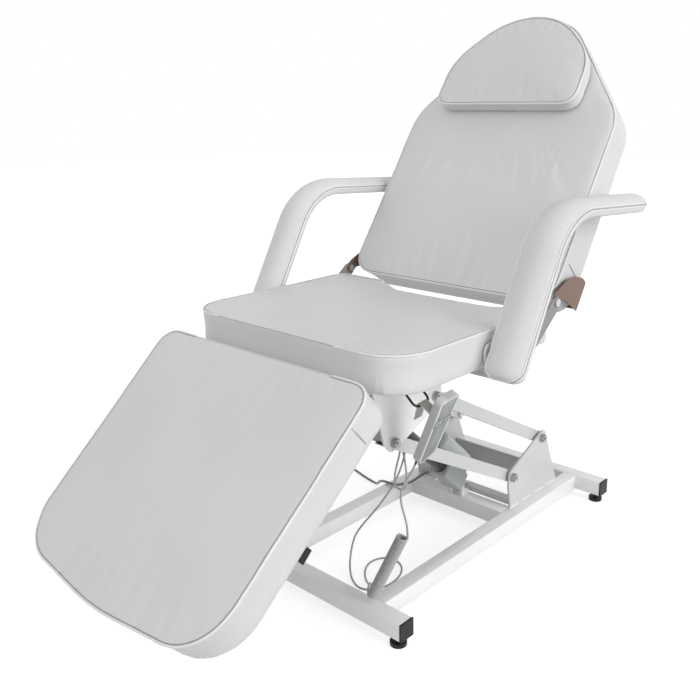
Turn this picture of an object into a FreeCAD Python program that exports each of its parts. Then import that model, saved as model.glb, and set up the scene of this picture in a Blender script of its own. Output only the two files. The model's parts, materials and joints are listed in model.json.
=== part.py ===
import FreeCAD, Part
import math
import os
import re

from FreeCAD import Placement, Rotation, Vector

# Sizes of the chair: word, value in millimetres or degrees, what it is.
SIZES = (
    ("tube_side", 40, "side of the base tube"),
    ("tube_wall", 2, "wall of the base tube"),
    ("base_lift", 22, "underside of the base tube above the floor"),
    ("bar_half", 260, "half length of the front and rear bar"),
    ("bar_front_y", -204, "middle of the front bar"),
    ("bar_span", 838, "front bar to rear bar, middle to middle"),
    ("rail_x", 168, "middle of a base rail from the middle of the chair"),
    ("mid_bar_y", 321, "middle of the bar that carries the actuator"),
    ("cap_thick", 4, "flange of a tube cap"),
    ("cap_plug", 14, "length of a cap inside its tube"),
    ("cap_fit", 0.2, "gap round a cap inside its tube"),
    ("foot_radius", 18, "radius of a levelling foot"),
    ("foot_thick", 9, "thickness of a levelling foot"),
    ("foot_stud", 5, "radius of a foot's stud"),
    ("foot_stud_length", 26, "length of a foot's stud above the disc"),
    ("foot_nut", 8.5, "corner radius of a foot's lock nut"),
    ("foot_nut_thick", 6, "thickness of a foot's lock nut"),
    ("foot_x", 240, "foot from the middle of the chair"),
    ("plate_thick", 5, "pivot plates"),
    ("pivot_low_y", 343, "lower link pivot on the base, y"),
    ("pivot_low_z", 146, "lower link pivot on the base, z"),
    ("step_y", 136, "upper link pivot from the lower one, y"),
    ("step_z", 65, "upper link pivot from the lower one, z"),
    ("link_length", 519, "pivot to pivot along a link"),
    ("link_angle", 28.3, "slope of the links in the low position"),
    ("link_deep", 30, "depth of a link tube"),
    ("link_wide", 24, "width of a link tube"),
    ("link_wall", 2.5, "wall of a link tube"),
    ("link_over", 16, "link tube past its pivots"),
    ("link_gap", 6, "link tube to pivot plate"),
    ("bolt_radius", 6, "pivot bolt shank"),
    ("bolt_fit", 0.25, "radial play of a pivot bolt"),
    ("bolt_head", 10, "radius of a pivot bolt head and washer"),
    ("bolt_head_thick", 7, "thickness of a pivot bolt head and nut"),
    ("bush_radius", 10, "radius of a link bush"),
    ("lobe_low", 17, "plate lobe round the lower pivot"),
    ("lobe_high", 19, "plate lobe round the upper pivot"),
    ("bracket_front", 336, "front foot of a base bracket plate"),
    ("bracket_rear", 563, "rear foot of a base bracket plate"),
    ("tie_y", 500, "cross plate between the brackets"),
    ("tie_tall", 60, "height of the cross plate"),
    ("tie_thick", 4, "thickness of the cross plates"),
    ("tie_bar_wide", 25, "low strip between the brackets, width"),
    ("tie_bar_tall", 13, "low strip between the brackets, height"),
    ("cross_side", 25, "side of a link cross tube"),
    ("cross_wall", 2, "wall of a small square tube"),
    ("lower_cross_at", 455, "lower link cross tube from its base pivot"),
    ("upper_cross_at", 430, "upper link cross tube from its base pivot"),
    ("clevis_z", 90, "actuator pivot height on the base"),
    ("clevis_half", 14, "half gap of an actuator clevis"),
    ("clevis_end", 14, "radius of a clevis end"),
    ("pin_radius", 5, "actuator pins"),
    ("top_pin_y", 60, "top actuator pin from the front link pivot, y"),
    ("top_pin_z", 55, "top actuator pin from the front link pivot, z"),
    ("eye_radius", 13, "actuator eyes"),
    ("eye_gap", 0.4, "actuator eye to clevis lug"),
    ("gear_start", 20, "gear case from the base pin"),
    ("gear_long", 96, "gear case length"),
    ("gear_wide", 60, "gear case width"),
    ("gear_deep", 52, "gear case depth"),
    ("motor_radius", 26, "motor can"),
    ("motor_off", 50, "motor axis above the actuator axis"),
    ("motor_long", 148, "motor can with its bell"),
    ("act_tube_radius", 18, "actuator tube outside"),
    ("act_tube_bore", 14, "actuator tube inside"),
    ("act_tube_end", 400, "end of the actuator tube from the base pin"),
    ("rod_radius", 10, "actuator rod"),
    ("rod_long", 288, "actuator rod from its pin"),
    ("seat_rise", 174, "underside of the seat above the front link pivot"),
    ("seat_front", -167, "front of the seat from the front link pivot"),
    ("seat_long", 513, "length of the seat"),
    ("seat_half", 312.5, "half width of the seat"),
    ("seat_thick", 74, "seat thickness at the piping"),
    ("seat_roll", 26, "rear edge of the seat drawn forward at the piping"),
    ("crown", 13, "rise of a pad above its piping"),
    ("draw", 2.5, "side of a pad drawn in below its piping"),
    ("board_thick", 12, "boards under the pads"),
    ("board_inset", 9, "board edge inside the pad's edge"),
    ("rail_side", 30, "side of the seat frame tubes"),
    ("rail_front", 14, "front of a seat rail behind the seat's front"),
    ("rail_rear", 440, "rear of a seat rail behind the seat's front"),
    ("plate_top_front", -76, "front top corner of a carriage plate"),
    ("plate_top_rear", 159, "rear top corner of a carriage plate"),
    ("carriage_tube_y", 60, "carriage cross tube behind the front pivot"),
    ("carriage_tube_z", 93, "carriage cross tube above the front pivot"),
    ("arm_pin_front", 272.2, "armrest pin behind the seat's front"),
    ("arm_cross_off", 70, "seat cross tube of the armrests behind their pin"),
    ("cross_tall", 18, "height of the seat cross tubes"),
    ("back_cross_y", 392, "seat cross tube of the back behind the front"),
    ("ear_thick", 4, "armrest ears and back straps"),
    ("ear_gap", 1.2, "armrest ear and back strap to the seat's side"),
    ("leg_pin_y", 6.9, "leg rest pin behind the seat's front"),
    ("leg_pin_drop", 8.5, "leg rest pin below the seat's underside"),
    ("leg_pin_radius", 4, "leg rest pin"),
    ("leg_ear_end", 8, "end radius of the leg rest ears"),
    ("leg_angle", 42.3, "slope of the leg rest"),
    ("leg_end", 11, "leg pad's end from its pin"),
    ("leg_face", 77, "leg pad's face from its pin"),
    ("leg_thick", 70, "leg pad thickness"),
    ("leg_half_top", 306, "half width of the leg pad at the seat"),
    ("leg_half_low", 288, "half width of the leg pad at the foot"),
    ("leg_long", 505, "leg pad length at its sides"),
    ("leg_bow", 28, "bow of the leg pad's foot end"),
    ("leg_tube", 25, "side of the leg frame tubes"),
    ("leg_cross_at", 288, "leg cross tube from the pad's end"),
    ("leg_cross_half", 279, "half length of the leg cross tube"),
    ("leg_cross_side", 28, "side of the leg cross tube"),
    ("lug_gap", 0.4, "leg lug to seat ear"),
    ("back_pin_y", 8.7, "back pin behind the seat's rear"),
    ("back_pin_z", 84.5, "back pin above the seat's underside"),
    ("back_angle", 55.6, "slope of the back"),
    ("back_side_in", 9.5, "side of the back inside the seat's side"),
    ("back_side", 479, "straight side of the back"),
    ("back_long", 872, "apex of the back's corners"),
    ("back_thick", 98, "back pad thickness at its foot"),
    ("back_taper", 2.2, "angle between the back's faces"),
    ("hinge_pin_radius", 5, "back and armrest pins"),
    ("hinge_plate_thick", 3, "back hinge plate"),
    ("hinge_gap", 0.5, "back hinge plate to back strap"),
    ("strap_wide", 26, "width of a back strap"),
    ("pillow_gap", 0.4, "pillow above the back's crown"),
    ("pillow_thick", 38, "pillow thickness at its piping"),
    ("pillow_crown", 16, "rise of the pillow above its piping"),
    ("arm_gap", 8.5, "armrest to the side of the seat"),
    ("arm_wide", 90, "width of an armrest"),
    ("arm_band", 20, "side band of an armrest"),
    ("arm_crown", 20, "rise of an armrest above its band"),
    ("arm_slope", 61.3, "slope of an armrest's leg"),
    ("arm_rise", 294, "length of an armrest's leg to its corner"),
    ("arm_reach", 345, "length of an armrest's top from its corner"),
    ("arm_bend", 123, "bend radius of an armrest"),
    ("arm_top_slope", 3, "fall of an armrest's top to the rear"),
    ("arm_pin_z", 30.3, "armrest pin above the seat's underside"),
    ("arm_steel_wide", 40, "armrest steel width"),
    ("arm_steel_thick", 18, "armrest steel thickness"),
    ("arm_steel_wall", 2, "armrest steel wall"),
    ("arm_boss", 8.7, "armrest boss radius"),
    ("arm_foot", 27, "armrest pad below its pin before the rounded end"),
    ("arm_nose", 24, "rounded lower end of an armrest pad"),
    ("arm_slant", 34, "slant of an armrest's rear end"),
    ("arm_fit", 0.3, "gap round the steel inside an armrest pad"),
    ("box_long", 90, "control box length"),
    ("box_wide", 75, "control box width"),
    ("box_tall", 48, "control box height"),
    ("box_x", 72, "control box from the middle of the chair"),
    ("gland_radius", 6, "cord gland radius"),
    ("gland_long", 9, "cord gland length"),
    ("hand_long", 172, "handset length"),
    ("hand_slant", 10, "slant of the handset's foot"),
    ("hand_wide", 60, "handset width"),
    ("hand_half_thick", 8.7, "thickness of each handset shell"),
    ("hand_corner", 14, "handset corner radius"),
    ("hand_x", 252.7, "back of the handset from the middle of the chair"),
    ("hand_lean", 25.6, "lean of the handset from upright"),
    ("hand_roll", 5.2, "slope of the bail bar along the seat"),
    ("key_long", 18, "handset key length"),
    ("key_wide", 12, "handset key width"),
    ("key_stand", 1.4, "handset key above its shell"),
    ("key_deep", 5, "handset key inside its shell"),
    ("key_gap", 0.4, "gap round a handset key"),
    ("clip_thick", 2.6, "handset clip"),
    ("clip_wide", 24, "handset clip width"),
    ("clip_gap", 0.5, "handset clip to the bail"),
    ("bail_radius", 2.5, "handset bail wire"),
    ("bail_drop", 65, "handset bail below the seat"),
    ("bail_half", 22, "half width of the bail"),
    ("cord_radius", 2.3, "handset cord"),
    ("curl_radius", 10.7, "middle of the curled cord from its axis"),
    ("curl_pitch", 5.25, "curled cord, rise in one turn"),
    ("curl_turns", 31.5, "turns of the curled cord"),
    ("lead_radius", 3.5, "mains lead"),
    ("coil_radius", 50, "outer turn of the coiled lead"),
    ("coil_step", 9, "coiled lead, turn to turn and layer to layer"),
    ("plug_long", 38, "plug body length"),
    ("plug_radius", 12, "plug body radius"),
    ("plug_pin", 2.4, "plug pin radius"),
    ("plug_pin_long", 19, "plug pin length"),
    ("boot_long", 24, "strain relief of the mains lead"),
    ("boot_wide", 7.5, "strain relief radius at its case"),
)

doc = FreeCAD.newDocument("treatment_chair")
sheet = doc.addObject("Spreadsheet::Sheet", "Sheet")
for row, (word, value, note) in enumerate(SIZES, start=1):
    sheet.set("A%d" % row, note)
    sheet.set("B%d" % row, str(value))
    sheet.setAlias("B%d" % row, word)
doc.recompute()


class Sizes:
    """Values of the sheet, read by their words."""


S = Sizes()
for word, value, note in SIZES:
    setattr(S, word, float(sheet.get(word)))

NODES = []
SIDE = Rotation(Vector(0, 1, 0), Vector(0, 0, 1), Vector(1, 0, 0), "XYZ")
SIDES = (("left", -1), ("right", 1))


def bind(thing, **formulas):
    """Ties properties of an object to formulas written in words of the sheet."""
    for name, text in formulas.items():
        thing.setExpression(name, re.sub(r"[a-z][a-z_]+", r"Sheet.\g<0>", text))


def node(thing, label):
    """Registers an object as a sub-part under its own label."""
    thing.Label = label
    NODES.append(thing)
    return thing


def inner(kind, name):
    """Adds a helper object."""
    return doc.addObject(kind, name)


def box(name, where, length, width, height, shift):
    """A bound box; its corner stands at `shift` inside the placement `where`."""
    thing = inner("Part::Box", name)
    bind(thing, Length=length, Width=width, Height=height)
    thing.Placement = where.multiply(Placement(Vector(*shift), Rotation()))
    return thing


def rod(name, where, radius, height):
    """A bound cylinder along the local Z of `where`."""
    thing = inner("Part::Cylinder", name)
    bind(thing, Radius=radius, Height=height)
    thing.Placement = where
    return thing


def cut(name, base, tool):
    """Base less tool."""
    thing = inner("Part::Cut", name)
    thing.Base = base
    thing.Tool = tool
    return thing


def join(name, things):
    """One solid from several that touch."""
    thing = inner("Part::MultiFuse", name)
    thing.Shapes = things
    return thing


def group(name, things):
    """Several solids in one sub-part."""
    thing = inner("Part::Compound", name)
    thing.Links = things
    return thing


def feature(name, shape, where=None):
    """A shape made from lines and arcs, with its placement."""
    thing = inner("Part::Feature", name)
    thing.Shape = shape
    if where is not None:
        thing.Placement = where
    return thing


def along_x(x, y, z):
    """Placement whose local Z runs along +X from the point."""
    return Placement(Vector(x, y, z), Rotation(Vector(0, 1, 0), 90))


def square_tube(name, where, half, deep, wide, wall, length):
    """A hollow tube along the local X of `where`, centred on it.

    Args:
        half: half length as a number, for the placement.
        deep, wide, wall, length: formulas in words of the sheet.
    """
    depth = number(deep)
    width = number(wide)
    thin = number(wall)
    outer = box(name + "_out", where, length, deep, wide, (-half, -depth / 2, -width / 2))
    hole = box(
        name + "_hole", where, length + " + 2", deep + " - 2 * " + wall, wide + " - 2 * " + wall,
        (-half - 1, -depth / 2 + thin, -width / 2 + thin),
    )
    return cut(name, outer, hole)


def number(text):
    """Value of one word of the sheet."""
    return getattr(S, text)


def rounded(points, radii, height=0.0):
    """Closed wire through corners with rounded turns, in the XY plane."""
    count = len(points)
    spots = [Vector(p[0], p[1], height) for p in points]
    edges = []
    ends = []
    for i in range(count):
        here = spots[i]
        back = (spots[i - 1] - here).normalize()
        ahead = (spots[(i + 1) % count] - here).normalize()
        between = back.getAngle(ahead)
        if radii[i] <= 0:
            ends.append((here, None, here))
            continue
        reach = radii[i] / math.tan(between / 2)
        middle = (back + ahead).normalize()
        centre = here + middle * (radii[i] / math.sin(between / 2))
        ends.append((here + back * reach, centre - middle * radii[i], here + ahead * reach))
    for i in range(count):
        first, mid, last = ends[i]
        if mid is not None:
            edges.append(Part.Arc(first, mid, last).toShape())
        start = ends[(i + 1) % count][0]
        if (start - last).Length > 1e-6:
            edges.append(Part.LineSegment(last, start).toShape())
    return Part.Wire(edges)


def inset(points, gaps):
    """Corners of a polygon, counter-clockwise, with each edge moved inward.

    Args:
        points: corners; edge i runs from corner i to corner i + 1.
        gaps: one distance for each edge.
    """
    count = len(points)
    lines = []
    for i in range(count):
        ax, ay = points[i]
        bx, by = points[(i + 1) % count]
        size = math.hypot(bx - ax, by - ay)
        nx, ny = -(by - ay) / size, (bx - ax) / size
        lines.append((ax + nx * gaps[i], ay + ny * gaps[i], (bx - ax) / size, (by - ay) / size))
    moved = []
    for i in range(count):
        px, py, dx, dy = lines[i - 1]
        qx, qy, ex, ey = lines[i]
        span = dx * ey - dy * ex
        step = ((qx - px) * ey - (qy - py) * ex) / span
        moved.append((px + dx * step, py + dy * step))
    return moved


def plate(name, points, radii, thick, where, holes=()):
    """A flat plate: an outline with holes, drawn out by a bound thickness.

    Args:
        thick: formula of the thickness, along the local Z of `where`.
        holes: (u, v, radius) of each hole.
    """
    face = Part.Face(rounded(points, radii))
    for u, v, radius in holes:
        ring = Part.Wire(Part.makeCircle(radius, Vector(u, v, 0)))
        face = face.cut(Part.Face(ring)).Faces[0]
    outline = feature(name + "_outline", face, where)
    thing = inner("Part::Extrusion", name)
    thing.Base = outline
    thing.DirMode = "Custom"
    thing.Dir = where.Rotation.multVec(Vector(0, 0, 1))
    thing.Solid = True
    bind(thing, LengthFwd=thick)
    return thing


def loft(name, wires, where):
    """A ruled solid through closed wires."""
    return feature(name, Part.makeLoft(wires, True, True), where)


def pad_levels(thick, rise, spread):
    """Side and top of a pad: (inset, height, rear share) from its underside up."""
    return (
        (5.0, 0.0, 0.0), (0.8, 6.0, 0.0), (S.draw, 0.30 * thick, 0.05), (S.draw, 0.62 * thick, 0.2),
        (0.0, thick - 5.0, 0.75), (0.0, thick, 1.0), (6.0 * spread, thick + 0.30 * rise, 1.25),
        (24.0 * spread, thick + 0.62 * rise, 1.6), (60.0 * spread, thick + 0.87 * rise, 2.0),
        (110.0 * spread, thick + rise, 2.2),
    )


def pad(name, points, radii, thick, rise, where, rear_edge=None, rear=0.0, taper=0.0, spread=1.0):
    """A pad with drawn-in sides and a crowned top.

    Args:
        points, radii: outline at the piping, counter-clockwise.
        thick, rise: height of the piping and of the crown above it.
        rear_edge, rear: an edge that leans in by `rear` at the piping.
        taper: tilt of the top against the underside, degrees about local X.
        spread: how far the crown runs in, against a large pad.
    """
    wires = []
    for gap, height, share in pad_levels(thick, rise, spread):
        gaps = [gap] * len(points)
        if rear_edge is not None:
            gaps[rear_edge] += rear * share
        corners = inset(points, gaps)
        rounds = [max(r - 0.8 * gap, 12.0) for r in radii]
        wire = rounded(corners, rounds)
        tilt = -taper * min(height / thick, 1.0)
        wire.Placement = Placement(Vector(0, 0, height), Rotation(Vector(1, 0, 0), tilt))
        wires.append(wire)
    return loft(name, wires, where)


def bolt(name, x, y, z, way, grip, radius, head, head_thick):
    """A bolt along X: head outside at x, shank of length grip inward, nut past it.

    Args:
        way: +1 when the head looks to +X.
        radius, head, head_thick, grip: formulas in words of the sheet.
    """
    turn = Rotation(Vector(0, 1, 0), -90 * way)
    long = sum(number(w) for w in grip.split(" + "))
    shank = rod(name + "_shank", Placement(Vector(x, y, z), turn), radius, grip)
    top = rod(name + "_head", Placement(Vector(x, y, z), Rotation(Vector(0, 1, 0), 90 * way)), head, head_thick)
    nut = inner("Part::Prism", name + "_nut")
    nut.Polygon = 6
    bind(nut, Circumradius=head, Height=head_thick)
    nut.Placement = Placement(Vector(x - way * long, y, z), turn)
    return join(name, [shank, top, nut])


# Frames and pivots that everything is placed from.
floor_z = 0.0
tube_z = S.base_lift + S.tube_side / 2
tube_top = S.base_lift + S.tube_side
bar_rear_y = S.bar_front_y + S.bar_span
low = (S.pivot_low_y, S.pivot_low_z)
high = (low[0] + S.step_y, low[1] + S.step_z)
slope = math.radians(S.link_angle)
link_way = (-math.cos(slope), math.sin(slope))
front = (low[0] + S.link_length * link_way[0], low[1] + S.link_length * link_way[1])
rear = (front[0] + S.step_y, front[1] + S.step_z)
rail_in = S.rail_x - S.tube_side / 2
plate_x = rail_in
link_x = plate_x - S.link_gap - S.link_wide / 2
seat_z = front[1] + S.seat_rise
seat_y = front[0] + S.seat_front
seat_back_y = seat_y + S.seat_long
base_pin = (S.mid_bar_y, S.clevis_z)
top_pin = (front[0] + S.top_pin_y, front[1] + S.top_pin_z)

# Base frame.
for word, way in SIDES:
    where = Placement(
        Vector(way * S.rail_x, S.bar_front_y + S.bar_span / 2, tube_z), Rotation(Vector(0, 0, 1), 90)
    )
    half = (S.bar_span - S.tube_side) / 2
    node(
        square_tube(
            "rail_" + word, where, half, "tube_side", "tube_side", "tube_wall", "bar_span - tube_side"
        ),
        "base_rail_" + word,
    )

stud_hole = S.foot_stud + 0.4
for word, at_y in (("front", S.bar_front_y), ("rear", bar_rear_y)):
    where = Placement(Vector(0, at_y, tube_z), Rotation())
    tube = square_tube(
        "bar_" + word, where, S.bar_half, "tube_side", "tube_side", "tube_wall", "2 * bar_half"
    )
    holes = []
    for side, way in SIDES:
        spot = Placement(Vector(way * S.foot_x, at_y, S.base_lift - 1), Rotation())
        holes.append(rod("stud_hole_%s_%s" % (word, side), spot, "foot_stud + 0.4", "tube_wall + 2"))
    node(cut("bar_drilled_" + word, tube, group("stud_holes_" + word, holes)), "base_%s_bar" % word)

where = Placement(Vector(0, S.mid_bar_y, tube_z), Rotation())
mid_tube = square_tube(
    "mid_bar", where, rail_in, "tube_side", "tube_side", "tube_wall", "2 * rail_x - tube_side"
)
lug_radius = S.pin_radius + S.bolt_fit
lugs = []
for word, way in SIDES:
    lug_x = S.clevis_half if way > 0 else -S.clevis_half - S.plate_thick
    lugs.append(
        plate(
            "base_lug_" + word,
            [
                (S.mid_bar_y - S.clevis_end, tube_top), (S.mid_bar_y + S.clevis_end, tube_top),
                (S.mid_bar_y + S.clevis_end, S.clevis_z + S.clevis_end),
                (S.mid_bar_y - S.clevis_end, S.clevis_z + S.clevis_end),
            ],
            [0, 0, S.clevis_end - 0.1, S.clevis_end - 0.1], "plate_thick",
            Placement(Vector(lug_x, 0, 0), SIDE), [(base_pin[0], base_pin[1], lug_radius)],
        )
    )
node(join("mid_bar_clevis", [mid_tube] + lugs), "base_mid_bar")

caps = []
for word, at_y in (("front", S.bar_front_y), ("rear", bar_rear_y)):
    for side, way in SIDES:
        name = "cap_%s_%s" % (word, side)
        turn = Rotation(Vector(0, 0, 1), 0 if way > 0 else 180)
        where = Placement(Vector(way * S.bar_half, at_y, tube_z), turn)
        flange = box(
            name + "_flange", where, "cap_thick", "tube_side", "tube_side",
            (0, -S.tube_side / 2, -S.tube_side / 2),
        )
        room = S.tube_side / 2 - S.tube_wall - S.cap_fit
        core = "tube_side - 2 * tube_wall - 2 * cap_fit"
        stem = box(name + "_stem", where, "cap_plug", core, core, (-S.cap_plug, -room, -room))
        caps.append(join(name, [flange, stem]))
node(group("caps", caps), "base_end_caps")

for word, way in SIDES:
    at_x = plate_x if way > 0 else -plate_x - S.plate_thick
    rise = (high[0] - low[0], high[1] - low[1])
    size = math.hypot(*rise)
    up = (-rise[1] / size, rise[0] / size)
    corners = [
        (S.bracket_front, tube_top), (S.bracket_rear, tube_top),
        (high[0] + S.lobe_high * 1.35, high[1] - S.lobe_high * 0.6),
        (high[0] + S.lobe_high * 0.75, high[1] + S.lobe_high * 1.32),
        (low[0] - S.lobe_low * 0.75, low[1] + S.lobe_low * 1.02),
        (low[0] - S.lobe_low * 1.05, low[1] - S.lobe_low * 0.9),
    ]
    hole = S.bolt_radius + S.bolt_fit
    node(
        plate(
            "bracket_" + word, corners, [0, 0, S.lobe_high, S.lobe_high * 0.85, S.lobe_low * 0.9, 20],
            "plate_thick", Placement(Vector(at_x, 0, 0), SIDE),
            [(low[0], low[1], hole), (high[0], high[1], hole)],
        ),
        "bracket_plate_" + word,
    )

across = "2 * rail_x - tube_side"
tie = box(
    "tie_plate", Placement(Vector(-plate_x, S.tie_y, tube_top), Rotation()), across, "tie_thick",
    "tie_tall", (0, 0, 0),
)
strip = box(
    "tie_strip", Placement(Vector(-plate_x, S.bracket_front + 12, tube_top), Rotation()), across,
    "tie_bar_wide", "tie_bar_tall", (0, 0, 0),
)
node(group("ties", [tie, strip]), "bracket_ties")


def pivot_bolts(prefix, spots):
    """Pivot bolts of both sides: head outside the plate, nut inside the link."""
    made = []
    for index, (at_y, at_z) in enumerate(spots):
        for word, way in SIDES:
            made.append(
                bolt(
                    "%s_%d_%s" % (prefix, index, word), way * (plate_x + S.plate_thick), at_y, at_z, way,
                    "plate_thick + link_gap + link_wide", "bolt_radius", "bolt_head", "bolt_head_thick",
                )
            )
    return made


def clevis_pin(name, at):
    """A pin through both lugs of an actuator clevis."""
    reach = S.clevis_half + S.plate_thick
    return bolt(
        name, reach, at[0], at[1], 1, "clevis_half + clevis_half + plate_thick + plate_thick", "pin_radius",
        "bolt_head * 0.8", "bolt_head_thick * 0.7",
    )


node(group("base_bolt_set", pivot_bolts("base_bolt", (low, high)) + [clevis_pin("base_pin", base_pin)]), "base_bolts")

# Levelling feet.
for word, at_y in (("front", S.bar_front_y), ("rear", bar_rear_y)):
    for side, way in SIDES:
        name = "%s_%s" % (word, side)
        spot = Vector(way * S.foot_x, at_y, floor_z)
        disc = rod("foot_disc_" + name, Placement(spot, Rotation()), "foot_radius", "foot_thick")
        stud = rod(
            "foot_stud_" + name, Placement(spot + Vector(0, 0, S.foot_thick - 1), Rotation()), "foot_stud",
            "foot_stud_length",
        )
        nut = inner("Part::Prism", "foot_nut_" + name)
        nut.Polygon = 6
        bind(nut, Circumradius="foot_nut", Height="foot_nut_thick")
        nut.Placement = Placement(
            spot + Vector(0, 0, S.base_lift - S.foot_nut_thick - 0.5), Rotation()
        )
        node(join("foot_solid_" + name, [disc, stud, nut]), "foot_" + name)

# Links of the lift.


def link_frame(base, reach, x):
    """Placement at a distance along a link, local X along the link."""
    turn = Rotation(Vector(0, *link_way), Vector(0, -link_way[1], link_way[0]), Vector(1, 0, 0), "XYZ")
    return Placement(Vector(x, base[0] + reach * link_way[0], base[1] + reach * link_way[1]), turn)


def link_arm(name, base, way):
    """A hollow link with a bush at either end, bored for the pivot bolts."""
    where = link_frame(base, S.link_length / 2, way * link_x)
    tube = square_tube(
        name + "_tube", where, S.link_length / 2 + S.link_over, "link_deep", "link_wide", "link_wall",
        "link_length + 2 * link_over",
    )
    bushes = []
    bores = []
    inside = way * link_x - S.link_wide / 2
    for index, reach in enumerate((0.0, S.link_length)):
        spot = link_frame(base, reach, inside).Base
        turn = Rotation(Vector(0, 1, 0), 90)
        bushes.append(rod("%s_bush_%d" % (name, index), Placement(spot, turn), "bush_radius", "link_wide"))
        bores.append(
            rod(
                "%s_bore_%d" % (name, index), Placement(spot - Vector(1, 0, 0), turn),
                "bolt_radius + bolt_fit", "link_wide + 2",
            )
        )
    return cut(name, join(name + "_whole", [tube] + bushes), group(name + "_bores", bores))


for prefix, base, reach, cross in (
    ("lower", low, S.lower_cross_at, "lower_cross_at"), ("upper", high, S.upper_cross_at, "upper_cross_at")
):
    for word, way in SIDES:
        node(link_arm("%s_arm_%s" % (prefix, word), base, way), "%s_link_arm_%s" % (prefix, word))
    spot = link_frame(base, reach, 0)
    turn = Rotation(
        Vector(1, 0, 0), Vector(0, *link_way), Vector(0, -link_way[1], link_way[0]), "XYZ"
    )
    half = link_x - S.link_wide / 2
    node(
        square_tube(
            prefix + "_cross", Placement(spot.Base, turn), half, "cross_side", "cross_side", "cross_wall",
            "2 * rail_x - tube_side - 2 * link_gap - 2 * link_wide",
        ),
        prefix + "_link_cross_tube",
    )

# Actuator.
reach_y = top_pin[0] - base_pin[0]
reach_z = top_pin[1] - base_pin[1]
act_long = math.hypot(reach_y, reach_z)
act_way = Vector(0, reach_y / act_long, reach_z / act_long)
act_up = Vector(0, act_way.z, -act_way.y)
ACT = Rotation(Vector(1, 0, 0), act_up, act_way, "ZXY")


def on_act(along, above=0.0, x=0.0):
    """Placement on the actuator, local Z along its axis from the base pin."""
    spot = Vector(x, base_pin[0], base_pin[1]) + act_way * along + act_up * above
    return Placement(spot, ACT)


eye_half = S.clevis_half - S.eye_gap
eye = rod("gear_eye", along_x(-eye_half, *base_pin), "eye_radius", "2 * clevis_half - 2 * eye_gap")
neck = box(
    "gear_neck", on_act(0), "2 * clevis_half - 2 * eye_gap", "2 * eye_radius", "gear_start + 1",
    (-eye_half, -S.eye_radius, 0),
)
case = box(
    "gear_case", on_act(S.gear_start), "gear_wide", "gear_deep", "gear_long",
    (-S.gear_wide / 2, -S.gear_deep / 2, 0),
)
case_edges = inner("Part::Fillet", "gear_case_round")
case_edges.Base = case
doc.recompute()
case_edges.Edges = [(i + 1, 8.0, 8.0) for i in range(12)]
case.Visibility = False
bridge = box(
    "gear_bridge", on_act(S.gear_start + 6), "gear_wide * 0.7", "motor_off", "gear_long * 0.55",
    (-S.gear_wide * 0.35, 0, 0),
)
motor = rod(
    "motor_can", on_act(S.gear_start + 10, S.motor_off), "motor_radius", "motor_long - motor_radius * 0.5"
)
bell = inner("Part::Ellipsoid", "motor_bell")
bind(bell, Radius1="motor_radius * 0.5", Radius2="motor_radius", Radius3="motor_radius", Angle1="0 * motor_radius")
bell.Placement = on_act(S.gear_start + 10 + S.motor_long - S.motor_radius * 0.5, S.motor_off)
boot_spot = on_act(34, 0, -S.gear_wide / 2).Base
boot = inner("Part::Cone", "lead_boot")
bind(boot, Radius1="boot_wide", Radius2="lead_radius * 1.15", Height="boot_long + 2")
boot.Placement = Placement(boot_spot + Vector(2, 0, 0), Rotation(Vector(0, 1, 0), -90))
gear_body = join("gear_body", [eye, neck, case_edges, bridge, motor, bell, boot])
gear_holes = group(
    "gear_holes",
    [
        rod("gear_eye_bore", along_x(-eye_half - 1, *base_pin), "pin_radius + bolt_fit", "2 * clevis_half + 2"),
        rod("gear_tube_seat", on_act(S.gear_start + S.gear_long - 20), "act_tube_radius", "21 * act_tube_radius / act_tube_radius"),
    ],
)
node(cut("gear", gear_body, gear_holes), "actuator_housing")
tube_start = S.gear_start + S.gear_long - 20
tube_out = rod("act_tube_out", on_act(tube_start), "act_tube_radius", "act_tube_end - gear_start - gear_long + 20")
tube_bore = rod("act_tube_hole", on_act(tube_start + 4), "act_tube_bore", "act_tube_end")
node(cut("act_tube", tube_out, tube_bore), "actuator_tube")
rod_eye = rod("rod_eye", along_x(-eye_half, *top_pin), "eye_radius", "2 * clevis_half - 2 * eye_gap")
rod_bar = rod("rod_bar", on_act(act_long - S.rod_long), "rod_radius", "rod_long")
rod_hole = rod("rod_eye_bore", along_x(-eye_half - 1, *top_pin), "pin_radius + bolt_fit", "2 * clevis_half + 2")
node(cut("act_rod", join("rod_whole", [rod_eye, rod_bar]), rod_hole), "actuator_rod")

# Carriage under the seat.
for word, way in SIDES:
    at_x = plate_x if way > 0 else -plate_x - S.plate_thick
    corners = [
        (front[0] - S.lobe_low * 1.75, front[1] + S.lobe_low * 0.1),
        (front[0] - S.lobe_low * 0.6, front[1] - S.lobe_low * 1.25),
        (front[0] + S.lobe_low * 1.1, front[1] - S.lobe_low * 0.75),
        (rear[0] + S.lobe_high * 1.15, rear[1] - S.lobe_high * 0.9),
        (front[0] + S.plate_top_rear, seat_z - S.rail_side), (front[0] + S.plate_top_rear, seat_z),
        (front[0] + S.plate_top_front, seat_z),
    ]
    hole = S.bolt_radius + S.bolt_fit
    node(
        plate(
            "side_plate_" + word, corners, [6, S.lobe_low * 0.8, S.lobe_low * 0.9, S.lobe_high, 12, 0, 0],
            "plate_thick", Placement(Vector(at_x, 0, 0), SIDE),
            [(front[0], front[1], hole), (rear[0], rear[1], hole)],
        ),
        "carriage_plate_" + word,
    )

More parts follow.
